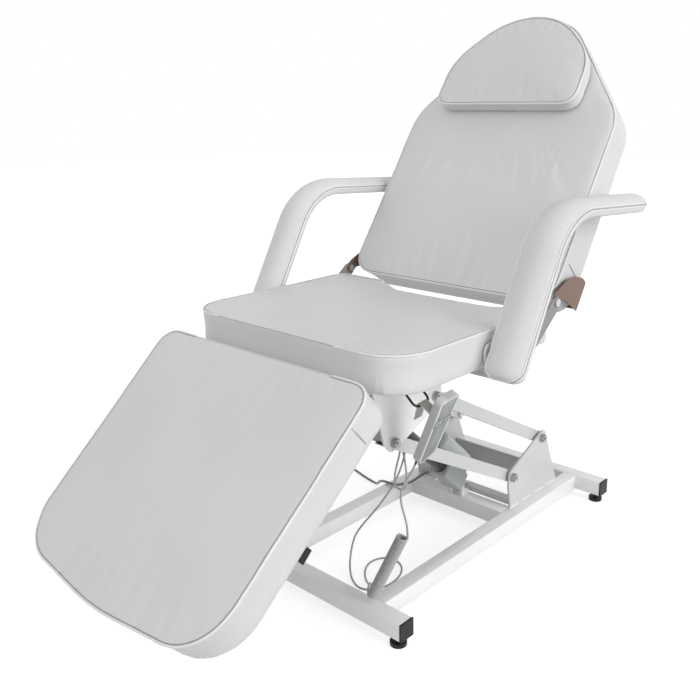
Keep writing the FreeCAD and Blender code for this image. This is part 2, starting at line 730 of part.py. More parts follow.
lean_low = Vector(0, front[0] - S.lobe_low * 1.45, front[1] + S.lobe_low * 0.35)
lean_high = Vector(0, front[0] + S.plate_top_front + 5, seat_z - 4)
lean = (lean_high - lean_low).normalize()
turn = Rotation(Vector(1, 0, 0), lean, Vector(0, -lean.z, lean.y), "XYZ")
lean_long = (Vector(0, front[0] + S.plate_top_front + 5, seat_z - 4) - lean_low).Length
node(
    plate(
        "front_plate", [(-plate_x, 0), (plate_x, 0), (plate_x, lean_long), (-plate_x, lean_long)],
        [0, 0, 0, 0], "tie_thick", Placement(lean_low - Vector(0, -lean.z, lean.y) * S.tie_thick, turn),
    ),
    "carriage_front_plate",
)

tube_y = front[0] + S.carriage_tube_y
tube_mid = front[1] + S.carriage_tube_z
cross = square_tube(
    "carriage_tube", Placement(Vector(0, tube_y, tube_mid), Rotation()), plate_x, "rail_side", "rail_side",
    "cross_wall", "2 * rail_x - tube_side",
)
lugs = []
for word, way in SIDES:
    lug_x = S.clevis_half if way > 0 else -S.clevis_half - S.plate_thick
    lugs.append(
        plate(
            "top_lug_" + word,
            [
                (top_pin[0] - S.clevis_end, top_pin[1] - S.clevis_end),
                (top_pin[0] + S.clevis_end, top_pin[1] - S.clevis_end),
                (top_pin[0] + S.clevis_end, tube_mid - S.rail_side / 2),
                (top_pin[0] - S.clevis_end, tube_mid - S.rail_side / 2),
            ],
            [S.clevis_end - 0.1, S.clevis_end - 0.1, 0, 0], "plate_thick",
            Placement(Vector(lug_x, 0, 0), SIDE), [(top_pin[0], top_pin[1], lug_radius)],
        )
    )
node(join("carriage_tube_clevis", [cross] + lugs), "carriage_cross_tube")

# Pivots of the back, leg rest and armrests.
leg_pin = (seat_y + S.leg_pin_y, seat_z - S.leg_pin_drop)
back_pin = (seat_back_y + S.back_pin_y, seat_z + S.back_pin_z)
arm_pin = (seat_y + S.arm_pin_front, seat_z + S.arm_pin_z)
arm_tube_y = arm_pin[0] + S.arm_cross_off
cross_low = seat_z - S.rail_side - S.cross_tall
ear_x = S.seat_half + S.ear_gap
back_half = S.seat_half - S.back_side_in
arm_x = S.seat_half + S.arm_gap
rail_mid_x = plate_x + S.plate_thick + S.rail_side / 2
rail_out = rail_mid_x + S.rail_side / 2

# Seat frame.
rail_long = S.rail_rear - S.rail_front
for word, way in SIDES:
    where = Placement(
        Vector(way * rail_mid_x, seat_y + S.rail_front + rail_long / 2, seat_z - S.rail_side / 2),
        Rotation(Vector(0, 0, 1), 90),
    )
    tube = square_tube(
        "seat_rail_tube_" + word, where, rail_long / 2, "rail_side", "rail_side", "cross_wall",
        "rail_rear - rail_front",
    )
    at_x = rail_out if way > 0 else -rail_out - S.plate_thick
    r = S.leg_ear_end
    ear = plate(
        "leg_ear_" + word,
        [
            (leg_pin[0] - r, leg_pin[1] - r), (seat_y + S.rail_front + 20, seat_z - S.rail_side),
            (seat_y + S.rail_front + 70, seat_z - S.rail_side), (seat_y + S.rail_front + 70, leg_pin[1] + r),
            (leg_pin[0] - r, leg_pin[1] + r),
        ],
        [r * 0.95, 4, 0, 0, r * 0.95], "plate_thick", Placement(Vector(at_x, 0, 0), SIDE),
        [(leg_pin[0], leg_pin[1], S.leg_pin_radius + 0.2)],
    )
    node(join("seat_rail_ear_" + word, [tube, ear]), "seat_rail_" + word)


def frame_cross(name, at_y):
    """A seat cross tube that runs through under both sides of the seat."""
    where = Placement(Vector(0, at_y, seat_z - S.rail_side - S.cross_tall / 2), Rotation())
    return square_tube(
        name, where, ear_x, "rail_side", "cross_tall", "cross_wall", "2 * seat_half + 2 * ear_gap"
    )


tube = frame_cross("arm_cross", arm_tube_y)
ears = []
for word, way in SIDES:
    at_x = ear_x if way > 0 else -ear_x - S.ear_thick
    ears.append(
        plate(
            "arm_ear_" + word,
            [
                (arm_tube_y - 17, cross_low), (arm_tube_y + 17, cross_low), (arm_tube_y + 17, seat_z - 6),
                (arm_pin[0] + 17, arm_pin[1] + 19), (arm_pin[0] - 19, arm_pin[1] + 19),
                (arm_pin[0] - 19, arm_pin[1] - 17),
            ],
            [4, 4, 16, 16, 16, 12], "ear_thick", Placement(Vector(at_x, 0, 0), SIDE),
            [(arm_pin[0], arm_pin[1], S.hinge_pin_radius + 0.2)],
        )
    )
node(join("arm_cross_ears", [tube] + ears), "seat_arm_cross")

tube = frame_cross("back_cross", seat_y + S.back_cross_y)
straps = []
for word, way in SIDES:
    at_x = ear_x if way > 0 else -ear_x - S.ear_thick
    w = S.strap_wide / 2
    foot_y = seat_y + S.back_cross_y
    bottom = cross_low
    straps.append(
        plate(
            "back_strap_" + word,
            [
                (foot_y - w - 2, bottom), (foot_y + w + 2, bottom), (foot_y + w + 10, seat_z - 20),
                (back_pin[0] + w * 1.1, back_pin[1] - w * 0.9), (back_pin[0] + w * 0.5, back_pin[1] + w * 1.2),
                (back_pin[0] - w * 1.1, back_pin[1] + w * 0.7), (foot_y - w - 2, seat_z - 6),
            ],
            [3, 3, 20, w * 0.8, w * 0.8, w * 0.9, 20], "ear_thick", Placement(Vector(at_x, 0, 0), SIDE),
            [(back_pin[0], back_pin[1], S.hinge_pin_radius + 0.2)],
        )
    )
node(join("back_cross_straps", [tube] + straps), "seat_back_cross")

# Seat.
SEAT = Placement(Vector(0, seat_y, seat_z), Rotation())
seat_points = [(-S.seat_half, 0), (S.seat_half, 0), (S.seat_half, S.seat_long), (-S.seat_half, S.seat_long)]
seat_rounds = [90, 90, 22, 22]
g = S.board_inset
board = plate(
    "seat_ply", inset(seat_points, [g] * 4), [max(r - g, 10) for r in seat_rounds], "board_thick", SEAT
)
node(board, "seat_board")
raw = pad("seat_raw", seat_points, seat_rounds, S.seat_thick, S.crown, SEAT, 2, S.seat_roll)
node(cut("seat_pad", raw, board), "seat_cushion")

# Leg rest: local Y runs down the pad from its end, local Z out of its face.
leg_turn = math.radians(S.leg_angle)
leg_way = Vector(0, -math.cos(leg_turn), -math.sin(leg_turn))
leg_out = Vector(0, -math.sin(leg_turn), math.cos(leg_turn))
LEG_ROT = Rotation(Vector(-1, 0, 0), leg_way, leg_out, "YZX")
leg_root = Vector(0, *leg_pin) + leg_way * S.leg_end + leg_out * (S.leg_face - S.leg_thick)
LEG = Placement(leg_root, LEG_ROT)
leg_points = [
    (-S.leg_half_top, 0), (S.leg_half_top, 0), (S.leg_half_low, S.leg_long),
    (0, S.leg_long + S.leg_bow), (-S.leg_half_low, S.leg_long),
]
leg_rounds = [42, 42, 110, 700, 110]
board = plate(
    "leg_ply", inset(leg_points, [g] * 5), [r - g if r < 500 else r for r in leg_rounds], "board_thick", LEG
)
node(board, "leg_board")
raw = pad("leg_raw", leg_points, leg_rounds, S.leg_thick, S.crown, LEG)
node(cut("leg_pad", raw, board), "leg_cushion")

lug_x = rail_out + S.plate_thick + S.lug_gap
tube_in = lug_x + S.plate_thick
leg_pieces = []
pin_v = -(S.leg_face - S.leg_thick)
for word, way in SIDES:
    arm_start = 12.0
    arm_long = S.leg_cross_at - S.leg_cross_side / 2 - arm_start
    where = LEG.multiply(
        Placement(
            Vector(-way * (tube_in + S.leg_tube / 2), arm_start + arm_long / 2, -S.leg_tube / 2),
            Rotation(Vector(0, 0, 1), 90),
        )
    )
    leg_pieces.append(
        square_tube(
            "leg_arm_" + word, where, arm_long / 2, "leg_tube", "leg_tube", "cross_wall",
            "leg_cross_at - leg_cross_side / 2 - 12",
        )
    )
    r = S.leg_ear_end
    edge = -way * lug_x if way < 0 else -lug_x - S.plate_thick
    turn = Rotation(Vector(0, 1, 0), Vector(0, 0, 1), Vector(1, 0, 0), "XYZ")
    leg_pieces.append(
        plate(
            "leg_lug_" + word,
            [
                (-S.leg_end - r, pin_v - r), (70, -S.leg_tube), (90, -S.leg_tube), (90, 0), (34, 0),
                (12, -1.6), (-S.leg_end - r, pin_v + r),
            ],
            [r * 0.9, 20, 0, 0, 0, 0, r * 0.9], "plate_thick",
            LEG.multiply(Placement(Vector(edge, 0, 0), turn)),
            [(-S.leg_end, pin_v, S.leg_pin_radius + 0.2)],
        )
    )
cross_at = LEG.multiply(Placement(Vector(0, S.leg_cross_at, -S.leg_cross_side / 2), Rotation()))
leg_pieces.append(
    square_tube(
        "leg_cross", cross_at, S.leg_cross_half, "leg_cross_side", "leg_cross_side", "cross_wall",
        "2 * leg_cross_half",
    )
)
node(join("leg_frame_whole", leg_pieces), "leg_frame")
plugs = []
for word, way in SIDES:
    turn = Rotation(Vector(0, 0, 1), 0 if way > 0 else 180)
    where = cross_at.multiply(Placement(Vector(way * S.leg_cross_half, 0, 0), turn))
    flange = box(
        "leg_plug_flange_" + word, where, "cap_thick", "leg_cross_side", "leg_cross_side",
        (0, -S.leg_cross_side / 2, -S.leg_cross_side / 2),
    )
    room = S.leg_cross_side / 2 - S.cross_wall - S.cap_fit
    core = "leg_cross_side - 2 * cross_wall - 2 * cap_fit"
    stem = box("leg_plug_stem_" + word, where, "cap_plug", core, core, (-S.cap_plug, -room, -room))
    plugs.append(join("leg_plug_" + word, [flange, stem]))
node(group("leg_plugs", plugs), "leg_tube_plugs")

# Back: local Y runs up the pad from its pin, local Z out of its face.
back_turn = math.radians(S.back_angle)
back_way = Vector(0, math.cos(back_turn), math.sin(back_turn))
back_out = Vector(0, -math.sin(back_turn), math.cos(back_turn))
BACK_FACE = Placement(Vector(0, *back_pin), Rotation(Vector(1, 0, 0), back_way, back_out, "YZX"))
BACK = BACK_FACE.multiply(
    Placement(Vector(0, 0, -S.back_thick), Rotation(Vector(1, 0, 0), S.back_taper))
)
back_points = [
    (-back_half, 0), (back_half, 0), (back_half, S.back_side), (0, S.back_long),
    (-back_half, S.back_side),
]
back_rounds = [58, 58, 130, 164, 130]
board = plate("back_ply", inset(back_points, [g] * 5), [r - g for r in back_rounds], "board_thick", BACK)
node(board, "back_board")
raw = pad(
    "back_raw", back_points, back_rounds, S.back_thick, S.crown, BACK, taper=S.back_taper
)
node(cut("back_pad", raw, board), "back_cushion")

sectors = []
deep = S.back_thick
for word, way in SIDES:
    inner_x = ear_x - S.hinge_gap - S.hinge_plate_thick
    edge = inner_x if way > 0 else -inner_x - S.hinge_plate_thick
    web = plate(
        "sector_" + word,
        [
            (-12, -12), (10, -16), (23, -deep * 0.35), (23, -deep * 0.9), (23, -deep - 3),
            (95, -deep - 1), (96, -deep * 0.8), (87, -deep * 0.52), (64, -deep * 0.18), (14, 12), (-12, 12),
        ],
        [11, 10, 24, 0, 0, 8, 0, 60, 60, 20, 11], "hinge_plate_thick",
        BACK_FACE.multiply(Placement(Vector(edge, 0, 0), SIDE)),
        [(0, 0, S.hinge_pin_radius + 0.2)],
    )
    flange_in = back_half - 45
    flange_long = inner_x + S.hinge_plate_thick - flange_in
    left = flange_in if way > 0 else -inner_x - S.hinge_plate_thick
    flange = plate(
        "sector_flange_" + word,
        [(left, 26), (left + flange_long, 26), (left + flange_long, 92), (left, 92)], [4, 4, 4, 4],
        "hinge_plate_thick", BACK.multiply(Placement(Vector(0, 0, -S.hinge_plate_thick), Rotation())),
    )
    sectors.append(join("back_hinge_" + word, [web, flange]))
node(group("back_hinges", sectors), "back_hinge_plates")

pillow_points = [(-206, 475), (206, 475), (205, 610), (0, 813), (-205, 610)]
pillow_rounds = [35, 35, 140, 195, 140]
pillow_at = BACK_FACE.multiply(Placement(Vector(0, 0, S.crown + S.pillow_gap), Rotation()))
node(
    pad(
        "pillow_raw", pillow_points, pillow_rounds, S.pillow_thick, S.pillow_crown, pillow_at, spread=0.5
    ),
    "pillow",
)

# Armrests: a pad and its steel on one path.
arm_slope = math.radians(S.arm_slope)
arm_way = Vector(0, math.cos(arm_slope), math.sin(arm_slope))
arm_face = Vector(0, -math.sin(arm_slope), math.cos(arm_slope))
top_fall = math.radians(S.arm_top_slope)
top_way = Vector(0, math.cos(top_fall), -math.sin(top_fall))


def arm_path(behind, before, x, trim_low=0.0, trim_high=0.0):
    """Path of an armrest as line, arc, line, moved behind the pad's rear face."""
    start = Vector(x, *arm_pin) - arm_face * (S.arm_steel_thick / 2) - arm_way * before
    corner = start + arm_way * (S.arm_rise + before)
    top_face = Vector(0, math.sin(top_fall), math.cos(top_fall))
    end = corner + top_way * S.arm_reach
    turn = arm_way.getAngle(top_way)
    start = start - arm_face * behind
    end = end - top_face * behind
    bent = S.arm_bend - behind
    half = math.tan(turn / 2)
    corner = corner - arm_face * behind + arm_way * (-behind * half)
    first = corner - arm_way * (bent * half)
    last = corner + top_way * (bent * half)
    inward = (top_way - arm_way).normalize()
    centre = corner + inward * (bent / math.cos(turn / 2))
    middle = centre - inward * bent
    start = start + arm_way * trim_low
    end = end - top_way * trim_high
    edges = [
        Part.LineSegment(start, first).toShape(), Part.Arc(first, middle, last).toShape(),
        Part.LineSegment(last, end).toShape(),
    ]
    return start, Part.Wire(edges)


def arm_section(start, points, arc_mid=None):
    """A closed section square to the armrest's leg at its start."""
    spots = [start + Vector(1, 0, 0) * u + arm_face * v for u, v in points]
    edges = []
    for i in range(len(spots)):
        first = spots[i]
        last = spots[(i + 1) % len(spots)]
        if arc_mid is not None and i == arc_mid[0]:
            peak = start + Vector(1, 0, 0) * arc_mid[1] + arm_face * arc_mid[2]
            edges.append(Part.Arc(first, peak, last).toShape())
        else:
            edges.append(Part.LineSegment(first, last).toShape())
    return Part.Wire(edges)


def arm_outline(share):
    """Corners and crown of an armrest's section, drawn in about its middle."""
    w = S.arm_wide / 2
    heart = S.arm_band * 0.8
    flat = [(-w + 3, 0), (w - 3, 0), (w, 4), (w, S.arm_band), (-w, S.arm_band), (-w, 4)]
    points = [(u * share, heart + (v - heart) * share) for u, v in flat]
    return points, (3, 0, heart + (S.arm_band + S.arm_crown - heart) * share)


for word, way in SIDES:
    middle = way * (arm_x + S.arm_wide / 2)
    start, path = arm_path(0, S.arm_foot, middle)
    body = path.makePipeShell([arm_section(start, *arm_outline(1.0))], True, False)
    rings = []
    for drop, share in ((0.0, 1.0), (0.42, 0.975), (0.78, 0.88), (1.0, 0.7)):
        rings.append(arm_section(start - arm_way * (S.arm_nose * drop), *arm_outline(share)))
    nose = loft("arm_nose_" + word, rings, Placement())
    whole_pad = join("arm_cover_" + word, [feature("arm_body_" + word, body), nose])
    half = S.arm_steel_thick / 2
    u = S.arm_steel_wide / 2
    fit = S.arm_fit
    start, path = arm_path(-half, half + fit, middle, 0, 60 - fit)
    groove = path.makePipeShell(
        [
            arm_section(
                start, [(-u - fit, -half - 6), (u + fit, -half - 6), (u + fit, half + fit), (-u - fit, half + fit)]
            )
        ],
        True, False,
    )
    lean = Placement(Vector(0, *arm_pin), Rotation(Vector(1, 0, 0), arm_way, arm_face, "XYZ"))
    slot_x = arm_x - 1 if way > 0 else -arm_x - S.arm_wide / 2 + u
    slot = box(
        "arm_slot_" + word, lean, "arm_wide / 2 - arm_steel_wide / 2 + 1", "2 * arm_boss + 2 * arm_fit",
        "arm_steel_thick / 2 + 6", (slot_x, -S.arm_boss - fit, -half - 6),
    )
    room = rod(
        "arm_room_" + word, along_x(slot_x, *arm_pin), "arm_boss + arm_fit",
        "arm_wide / 2 - arm_steel_wide / 2 + 1",
    )
    tip = arm_path(0, 0, middle)[1].Edges[-1].Vertexes[-1].Point
    tall = S.arm_band + S.arm_crown
    lower = tip - top_way * S.arm_slant
    upper = tip + Vector(0, math.sin(top_fall), math.cos(top_fall)) * tall
    rise = (upper - lower).normalize()
    out = Vector(1, 0, 0).cross(rise)
    if out.dot(top_way) < 0:
        out = out * -1
    across_x = rise.cross(out)
    slant = box(
        "arm_tip_" + word, Placement(lower, Rotation(across_x, rise, out, "XYZ")), "2 * arm_wide", "4 * arm_wide",
        "arm_wide", (-S.arm_wide, -2 * S.arm_wide, 0),
    )
    tools = group("arm_tools_" + word, [feature("arm_groove_" + word, groove), slot, room, slant])
    node(cut("arm_pad_cut_" + word, whole_pad, tools), "arm_pad_" + word)
    start, path = arm_path(-half, 0, middle, 0, 60)
    thin = S.arm_steel_wall
    outer = path.makePipeShell(
        [arm_section(start, [(-u, -half), (u, -half), (u, half), (-u, half)])], True, False
    )
    skin = half - thin
    hollow = path.makePipeShell(
        [arm_section(start, [(-u + thin, -skin), (u - thin, -skin), (u - thin, skin), (-u + thin, skin)])],
        True, False,
    )
    steel = cut("arm_bar_" + word, feature("arm_bar_out_" + word, outer), feature("arm_bar_hole_" + word, hollow))
    boss_start = ear_x + S.ear_thick + S.lug_gap
    boss_end = arm_x + S.arm_wide / 2 + u
    at_x = boss_start if way > 0 else -boss_end
    boss = rod(
        "arm_boss_" + word, along_x(at_x, *arm_pin), "arm_boss",
        "arm_gap + arm_wide / 2 + arm_steel_wide / 2 - ear_gap - ear_thick - lug_gap",
    )
    bore = rod(
        "arm_boss_bore_" + word, along_x(at_x - 1, *arm_pin), "hinge_pin_radius + 0.2",
        "arm_gap + arm_wide / 2 + arm_steel_wide / 2 + 4",
    )
    node(cut("arm_steel_" + word, join("arm_steel_whole_" + word, [steel, boss]), bore), "arm_steel_" + word)

# Control box and handset.
box_y = arm_tube_y - 38
box_top = cross_low
where = Placement(Vector(S.box_x, box_y, box_top - S.box_tall), Rotation())
shell = box("box_shell", where, "box_wide", "box_long", "box_tall", (-S.box_wide / 2, -S.box_long / 2, 0))
doc.recompute()
shell_round = inner("Part::Fillet", "box_round")
shell_round.Base = shell
upright = [
    i for i, e in enumerate(shell.Shape.Edges, start=1)
    if abs(e.Vertexes[0].Point.z - e.Vertexes[1].Point.z) > 1
]
shell_round.Edges = [(i, 6.0, 6.0) for i in upright]
gland_spot = Vector(S.box_x - 16, box_y - 11, box_top - S.box_tall)
gland = rod(
    "box_gland", Placement(gland_spot - Vector(0, 0, S.gland_long), Rotation()), "gland_radius", "gland_long + 1"
)
node(join("box_whole", [shell_round, gland]), "control_box")

lean = math.radians(S.hand_lean)
roll = math.radians(S.hand_roll)
bail_across = Vector(0, math.cos(roll), math.sin(roll))
bail_up = Vector(0, -math.sin(roll), math.cos(roll))
hand_way = Vector(math.sin(lean), 0, 0) + bail_up * math.cos(lean)
hand_face = Vector(math.cos(lean), 0, 0) - bail_up * math.sin(lean)
hand_mid = Vector(S.hand_x, seat_y + 169.3, seat_z - 108.25)
HAND = Placement(hand_mid, Rotation(hand_way, -bail_across, hand_face, "XYZ"))
a = S.hand_long / 2
b = S.hand_wide / 2
hand_points = [(-a + S.hand_slant, -b * 0.86), (a, -b), (a, b), (-a - S.hand_slant, b * 0.86)]
hand_rounds = [S.hand_corner * 1.6, S.hand_corner, S.hand_corner, S.hand_corner]
rear_shell = plate("hand_rear", hand_points, hand_rounds, "hand_half_thick", HAND)
relief = inner("Part::Cone", "hand_relief")
bind(relief, Radius1="cord_radius * 1.2", Radius2="cord_radius * 1.8", Height="cord_radius * 8")
relief_long = S.cord_radius * 8 - 4
relief_side = S.hand_wide * 0.2
relief_x = -a - S.hand_slant * relief_side / (b * 0.86) - relief_long
relief.Placement = HAND.multiply(
    Placement(Vector(relief_x, relief_side, S.hand_half_thick / 2), Rotation(Vector(0, 1, 0), 90))
)
node(join("hand_rear_whole", [rear_shell, relief]), "handset_back_shell")
front_at = HAND.multiply(Placement(Vector(0, 0, S.hand_half_thick), Rotation()))
front_shell = plate("hand_front", hand_points, hand_rounds, "hand_half_thick", front_at)
pockets = []
keys = []
key_up_x = S.hand_long * 0.135
key_side = S.hand_wide * 0.22
key_spots = (("up", key_side), ("down", -key_side))
for word, at in key_spots:
    where = front_at.multiply(Placement(Vector(key_up_x, at, S.hand_half_thick - S.key_deep - 1.5), Rotation()))
    pockets.append(
        box(
            "key_room_" + word, where, "key_wide + 2 * key_gap", "key_long + 2 * key_gap", "key_deep + 3",
            (-S.key_wide / 2 - S.key_gap, -S.key_long / 2 - S.key_gap, 0),
        )
    )
    where = front_at.multiply(Placement(Vector(key_up_x, at, S.hand_half_thick - S.key_deep), Rotation()))
    keys.append(
        (
            word,
            box(
                "key_" + word, where, "key_wide", "key_long", "key_deep + key_stand",
                (-S.key_wide / 2, -S.key_long / 2, 0),
            ),
        )
    )
node(cut("hand_front_cut", front_shell, group("key_rooms", pockets)), "handset_front_shell")
for word, key in keys:
    node(key, "button_" + word)

# Bail under the seat and the clip that hangs on it.
bail_y = seat_y + 155.5
bail_z = seat_z - S.bail_drop
bar_x = S.hand_x - 12.7
top_x = bar_x - 34.0


def tangent_path(points, share=0.45):
    """Straight runs joined by tangent arcs.

    Returns:
        The edges in order and the least arc radius.
    """
    spots = [Vector(*p) for p in points]
    edges = []
    last = spots[0]
    least = 1e9
    radii = []
    for i in range(1, len(spots) - 1):
        back = spots[i - 1] - spots[i]
        ahead = spots[i + 1] - spots[i]
        run = min(back.Length, ahead.Length) * share
        back.normalize()
        ahead.normalize()
        between = back.getAngle(ahead)
        radius = run * math.tan(between / 2)
        least = min(least, radius)
        radii.append(round(radius))
        middle = (back + ahead).normalize()
        centre = spots[i] + middle * (radius / math.sin(between / 2))
        first = spots[i] + back * run
        final = spots[i] + ahead * run
        edges.append(Part.LineSegment(last, first).toShape())
        edges.append(Part.Arc(first, centre - middle * radius, final).toShape())
        last = final
    edges.append(Part.LineSegment(last, spots[-1]).toShape())
    runs = [round((spots[i + 1] - spots[i]).Length) for i in range(len(spots) - 1)]
    print("route radii", radii, "runs", runs)
    return edges, least


def tube_on(edges, radius):
    """A round tube along edges that follow on smoothly."""
    wire = Part.Wire(edges)
    start = edges[0].Vertexes[0].Point
    first = edges[0].Curve
    way = edges[0].tangentAt(edges[0].FirstParameter)
    ring = Part.Wire(Part.makeCircle(radius, start, way))
    return wire.makePipeShell([ring], True, False)


h = S.bail_half
low_z = bail_z - h * math.tan(roll)
high_z = bail_z + h * math.tan(roll)
edges, least = tangent_path(
    [
        (top_x, bail_y - h, seat_z), (top_x + 2, bail_y - h, low_z + 28), (bar_x, bail_y - h, low_z),
        (bar_x, bail_y + h, high_z), (top_x + 2, bail_y + h, high_z + 28), (top_x, bail_y + h, seat_z),
    ],
    0.3,
)
node(feature("bail_wire", tube_on(edges, S.bail_radius)), "handset_bail")

t = S.clip_thick
clear = S.bail_radius + S.clip_gap + t / 2
bar_mid = Vector(bar_x, bail_y, bail_z)


def in_clip(spot):
    """Place of a spot in the clip's profile, across and up from the bail's bar."""
    return ((spot - bar_mid).x, (spot - bar_mid).dot(bail_up))


def strip(points, wide):
    """Outline of a strip of even width along a line."""
    sides = []
    for i, here in enumerate(points):
        ways = []
        if i > 0:
            ways.append((here[0] - points[i - 1][0], here[1] - points[i - 1][1]))
        if i < len(points) - 1:
            ways.append((points[i + 1][0] - here[0], points[i + 1][1] - here[1]))
        units = [(x / math.hypot(x, y), y / math.hypot(x, y)) for x, y in ways]
        nx = -sum(u[1] for u in units) / len(units)
        ny = sum(u[0] for u in units) / len(units)
        share = wide / 2 / (nx * nx + ny * ny)
        sides.append(((here[0] + nx * share, here[1] + ny * share), (here[0] - nx * share, here[1] - ny * share)))
    return [s[1] for s in sides] + [s[0] for s in reversed(sides)]


clip_line = [
    in_clip(HAND.multVec(Vector(S.hand_long * 0.05, 0, -t / 2))),
    in_clip(HAND.multVec(Vector(S.hand_long * 0.21, 0, -t / 2))),
    (clear * 0.6, clear), (-clear * 0.6, clear), (-clear, clear * 0.25), (-clear - 11.4, -33),
]
clip_at = Placement(
    bar_mid + bail_across * (S.clip_wide / 2), Rotation(Vector(1, 0, 0), bail_up, -bail_across, "XYZ")
)
outline = strip(clip_line, t)
node(plate("clip_sheet", outline, [0] * len(outline), "clip_wide", clip_at), "handset_clip")

# Handset cord: drop, curl and tail meet end to end.


def arc_from(start, way, end):
    """Arc that leaves a point along a way and reaches another point."""
    chord = end - start
    along = Vector(chord).normalize()
    side = way - along * way.dot(along)
    if side.Length < 1e-7:
        return Part.LineSegment(start, end).toShape()
    bend = along.getAngle(way)
    middle = start + chord * 0.5 + side.normalize() * (chord.Length / 2 * math.tan(bend / 2))
    return Part.Arc(start, middle, end).toShape()


def biarcs(points, ways):
    """Pairs of arcs through points with given directions."""
    edges = []
    for i in range(len(points) - 1):
        p, q = points[i], points[i + 1]
        u, v = ways[i], ways[i + 1]
        gap = q - p
        both = u + v
        a = 2 * (1 - u.dot(v))
        b = gap.dot(both)
        c = gap.dot(gap)
        if a < 1e-9:
            reach = c / (2 * b)
        else:
            reach = (-b + math.sqrt(b * b + a * c)) / a
        middle = (p + u * reach + q - v * reach) * 0.5
        edges.append(arc_from(p, u, middle))
        joint_way = (q - v * reach - p - u * reach).normalize()
        edges.append(arc_from(middle, joint_way, q))
    return edges


def least_gap(edges, radius, skip):
    """Least clear distance between turns, on points along the edges."""
    spots = []
    for edge in edges:
        spots.extend(edge.discretize(5)[:-1])
    best = 1e9
    for i, p in enumerate(spots):
        for q in spots[i + skip:]:
            best = min(best, p.distanceToPoint(q))
    return best - 2 * radius


curl_top = Vector(229, seat_y + 104.5, seat_z - 338)
curl_low = Vector(162.5, seat_y + 83, seat_z - 491)
axis = (curl_low - curl_top).normalize()
curl_in = axis.cross(Vector(0.7535, 0.6575, 0)).normalize()
curl_side = curl_in.cross(axis)
pitch = S.curl_pitch
rise_way = pitch / (2 * math.pi * S.curl_radius)
curl_points = []
curl_ways = []
halves = int(round(S.curl_turns * 4))
for i in range(halves + 1):
    turn = i * math.pi / 2
    out = curl_side * math.cos(turn) + curl_in * math.sin(turn)
    go = curl_in * math.cos(turn) - curl_side * math.sin(turn)
    curl_points.append(curl_top + out * S.curl_radius + axis * (pitch * turn / (2 * math.pi)))
    curl_ways.append((go + axis * rise_way).normalize())
lead = 2 * S.cord_radius
lead_in = curl_points[0] - curl_ways[0] * lead
lead_out = curl_points[-1] + curl_ways[-1] * lead
curl_edges = [Part.LineSegment(lead_in, curl_points[0]).toShape()]
turns = biarcs(curl_points, curl_ways)
curl_edges += turns
curl_edges.append(Part.LineSegment(curl_points[-1], lead_out).toShape())
print("curl self gap", round(least_gap(turns, S.cord_radius, 20), 3))

relief_end = HAND.multVec(Vector(relief_x, relief_side, S.hand_half_thick / 2))
drop_way = -hand_way
entry = [curl_ways[0]]
fall = Vector(0.19, 0.16, -0.97)
for share in (0.33, 0.67, 1.0):
    entry.append((curl_ways[0] * (1 - share) + fall * share).normalize())
last_points = [lead_in]
for way, run in zip(entry, (12, 13, 15, 30)):
    last_points.append(last_points[-1] - way * run)
high_turn = last_points[-1]
drop_points = [
    relief_end, relief_end + drop_way * 24, high_turn - fall * 30,
] + last_points[-2::-1]
edges, least = tangent_path(drop_points)
print("drop least radius", round(least, 1))
drop = tube_on(edges, S.cord_radius)
length = sum(e.Length for e in edges)
print("drop length", round(length), "volume ratio", round(drop.Volume / (math.pi * S.cord_radius ** 2 * length), 4))
node(feature("drop_tube", drop), "handset_cord_drop")
curl = tube_on(curl_edges, S.cord_radius)
length = sum(e.Length for e in curl_edges)
print("curl length", round(length), "volume ratio", round(curl.Volume / (math.pi * S.cord_radius ** 2 * length), 4))
node(feature("curl_tube", curl), "handset_cord_curl")

low_z = S.cord_radius + 0.2
gland_end = gland_spot - Vector(0, 0, S.gland_long)
tail_points = [
    lead_out, lead_out + curl_ways[-1] * 16, (126, -165, 76), (108, -143, 54), (86, -122, 30), (60, -100, 11),
    (30, -80, low_z), (3, -55, low_z), (-14, -22, low_z), (-9, 12, low_z), (18, 30, low_z), (50, 24, low_z),
    (74, 0, low_z), (86, -34, low_z), (86, -72, low_z), (70, -104, low_z), (44, -116, low_z),
    (14, -106, low_z + 1), (-16, -84, low_z + 3), (-34, -66, 18), (-40, -54, 44), (-32, -50, 80), (-8, -50, 116),
    (24, -48, 156), (52, -42, 196), (73, -28, 236), (83, -12, 276), (85, 1, 314), (82, 9, 350), (80, 11, 384),
    (81, 6, 410), (85, -10, 424), (90, -26, 418), (96, -33, 394), (101, -33.5, 358), (98, -33, 324),
    (88, -32, 294), (81, -32, 266), (80.5, -32, 244), (89.5, -31, 234.5), (102.5, -29, 234.5),
    (111, -27, 244), (109, -23, 270), (101, -19, 302), (87, -15, 334), (72, -10, 366),
    (62, -3, 396), (57.5, gland_end.y - 6, gland_end.z - 36), gland_end - Vector(0, 0, 17), gland_end,
]
edges, least = tangent_path(tail_points)
print("tail least radius", round(least, 1))
tail = tube_on(edges, S.cord_radius)
length = sum(e.Length for e in edges)
print("tail length", round(length), "volume ratio", round(tail.Volume / (math.pi * S.cord_radius ** 2 * length), 4))
print("tail self gap", round(least_gap(edges, S.cord_radius, 24), 2))
node(feature("tail_tube", tail), "handset_cord_tail")

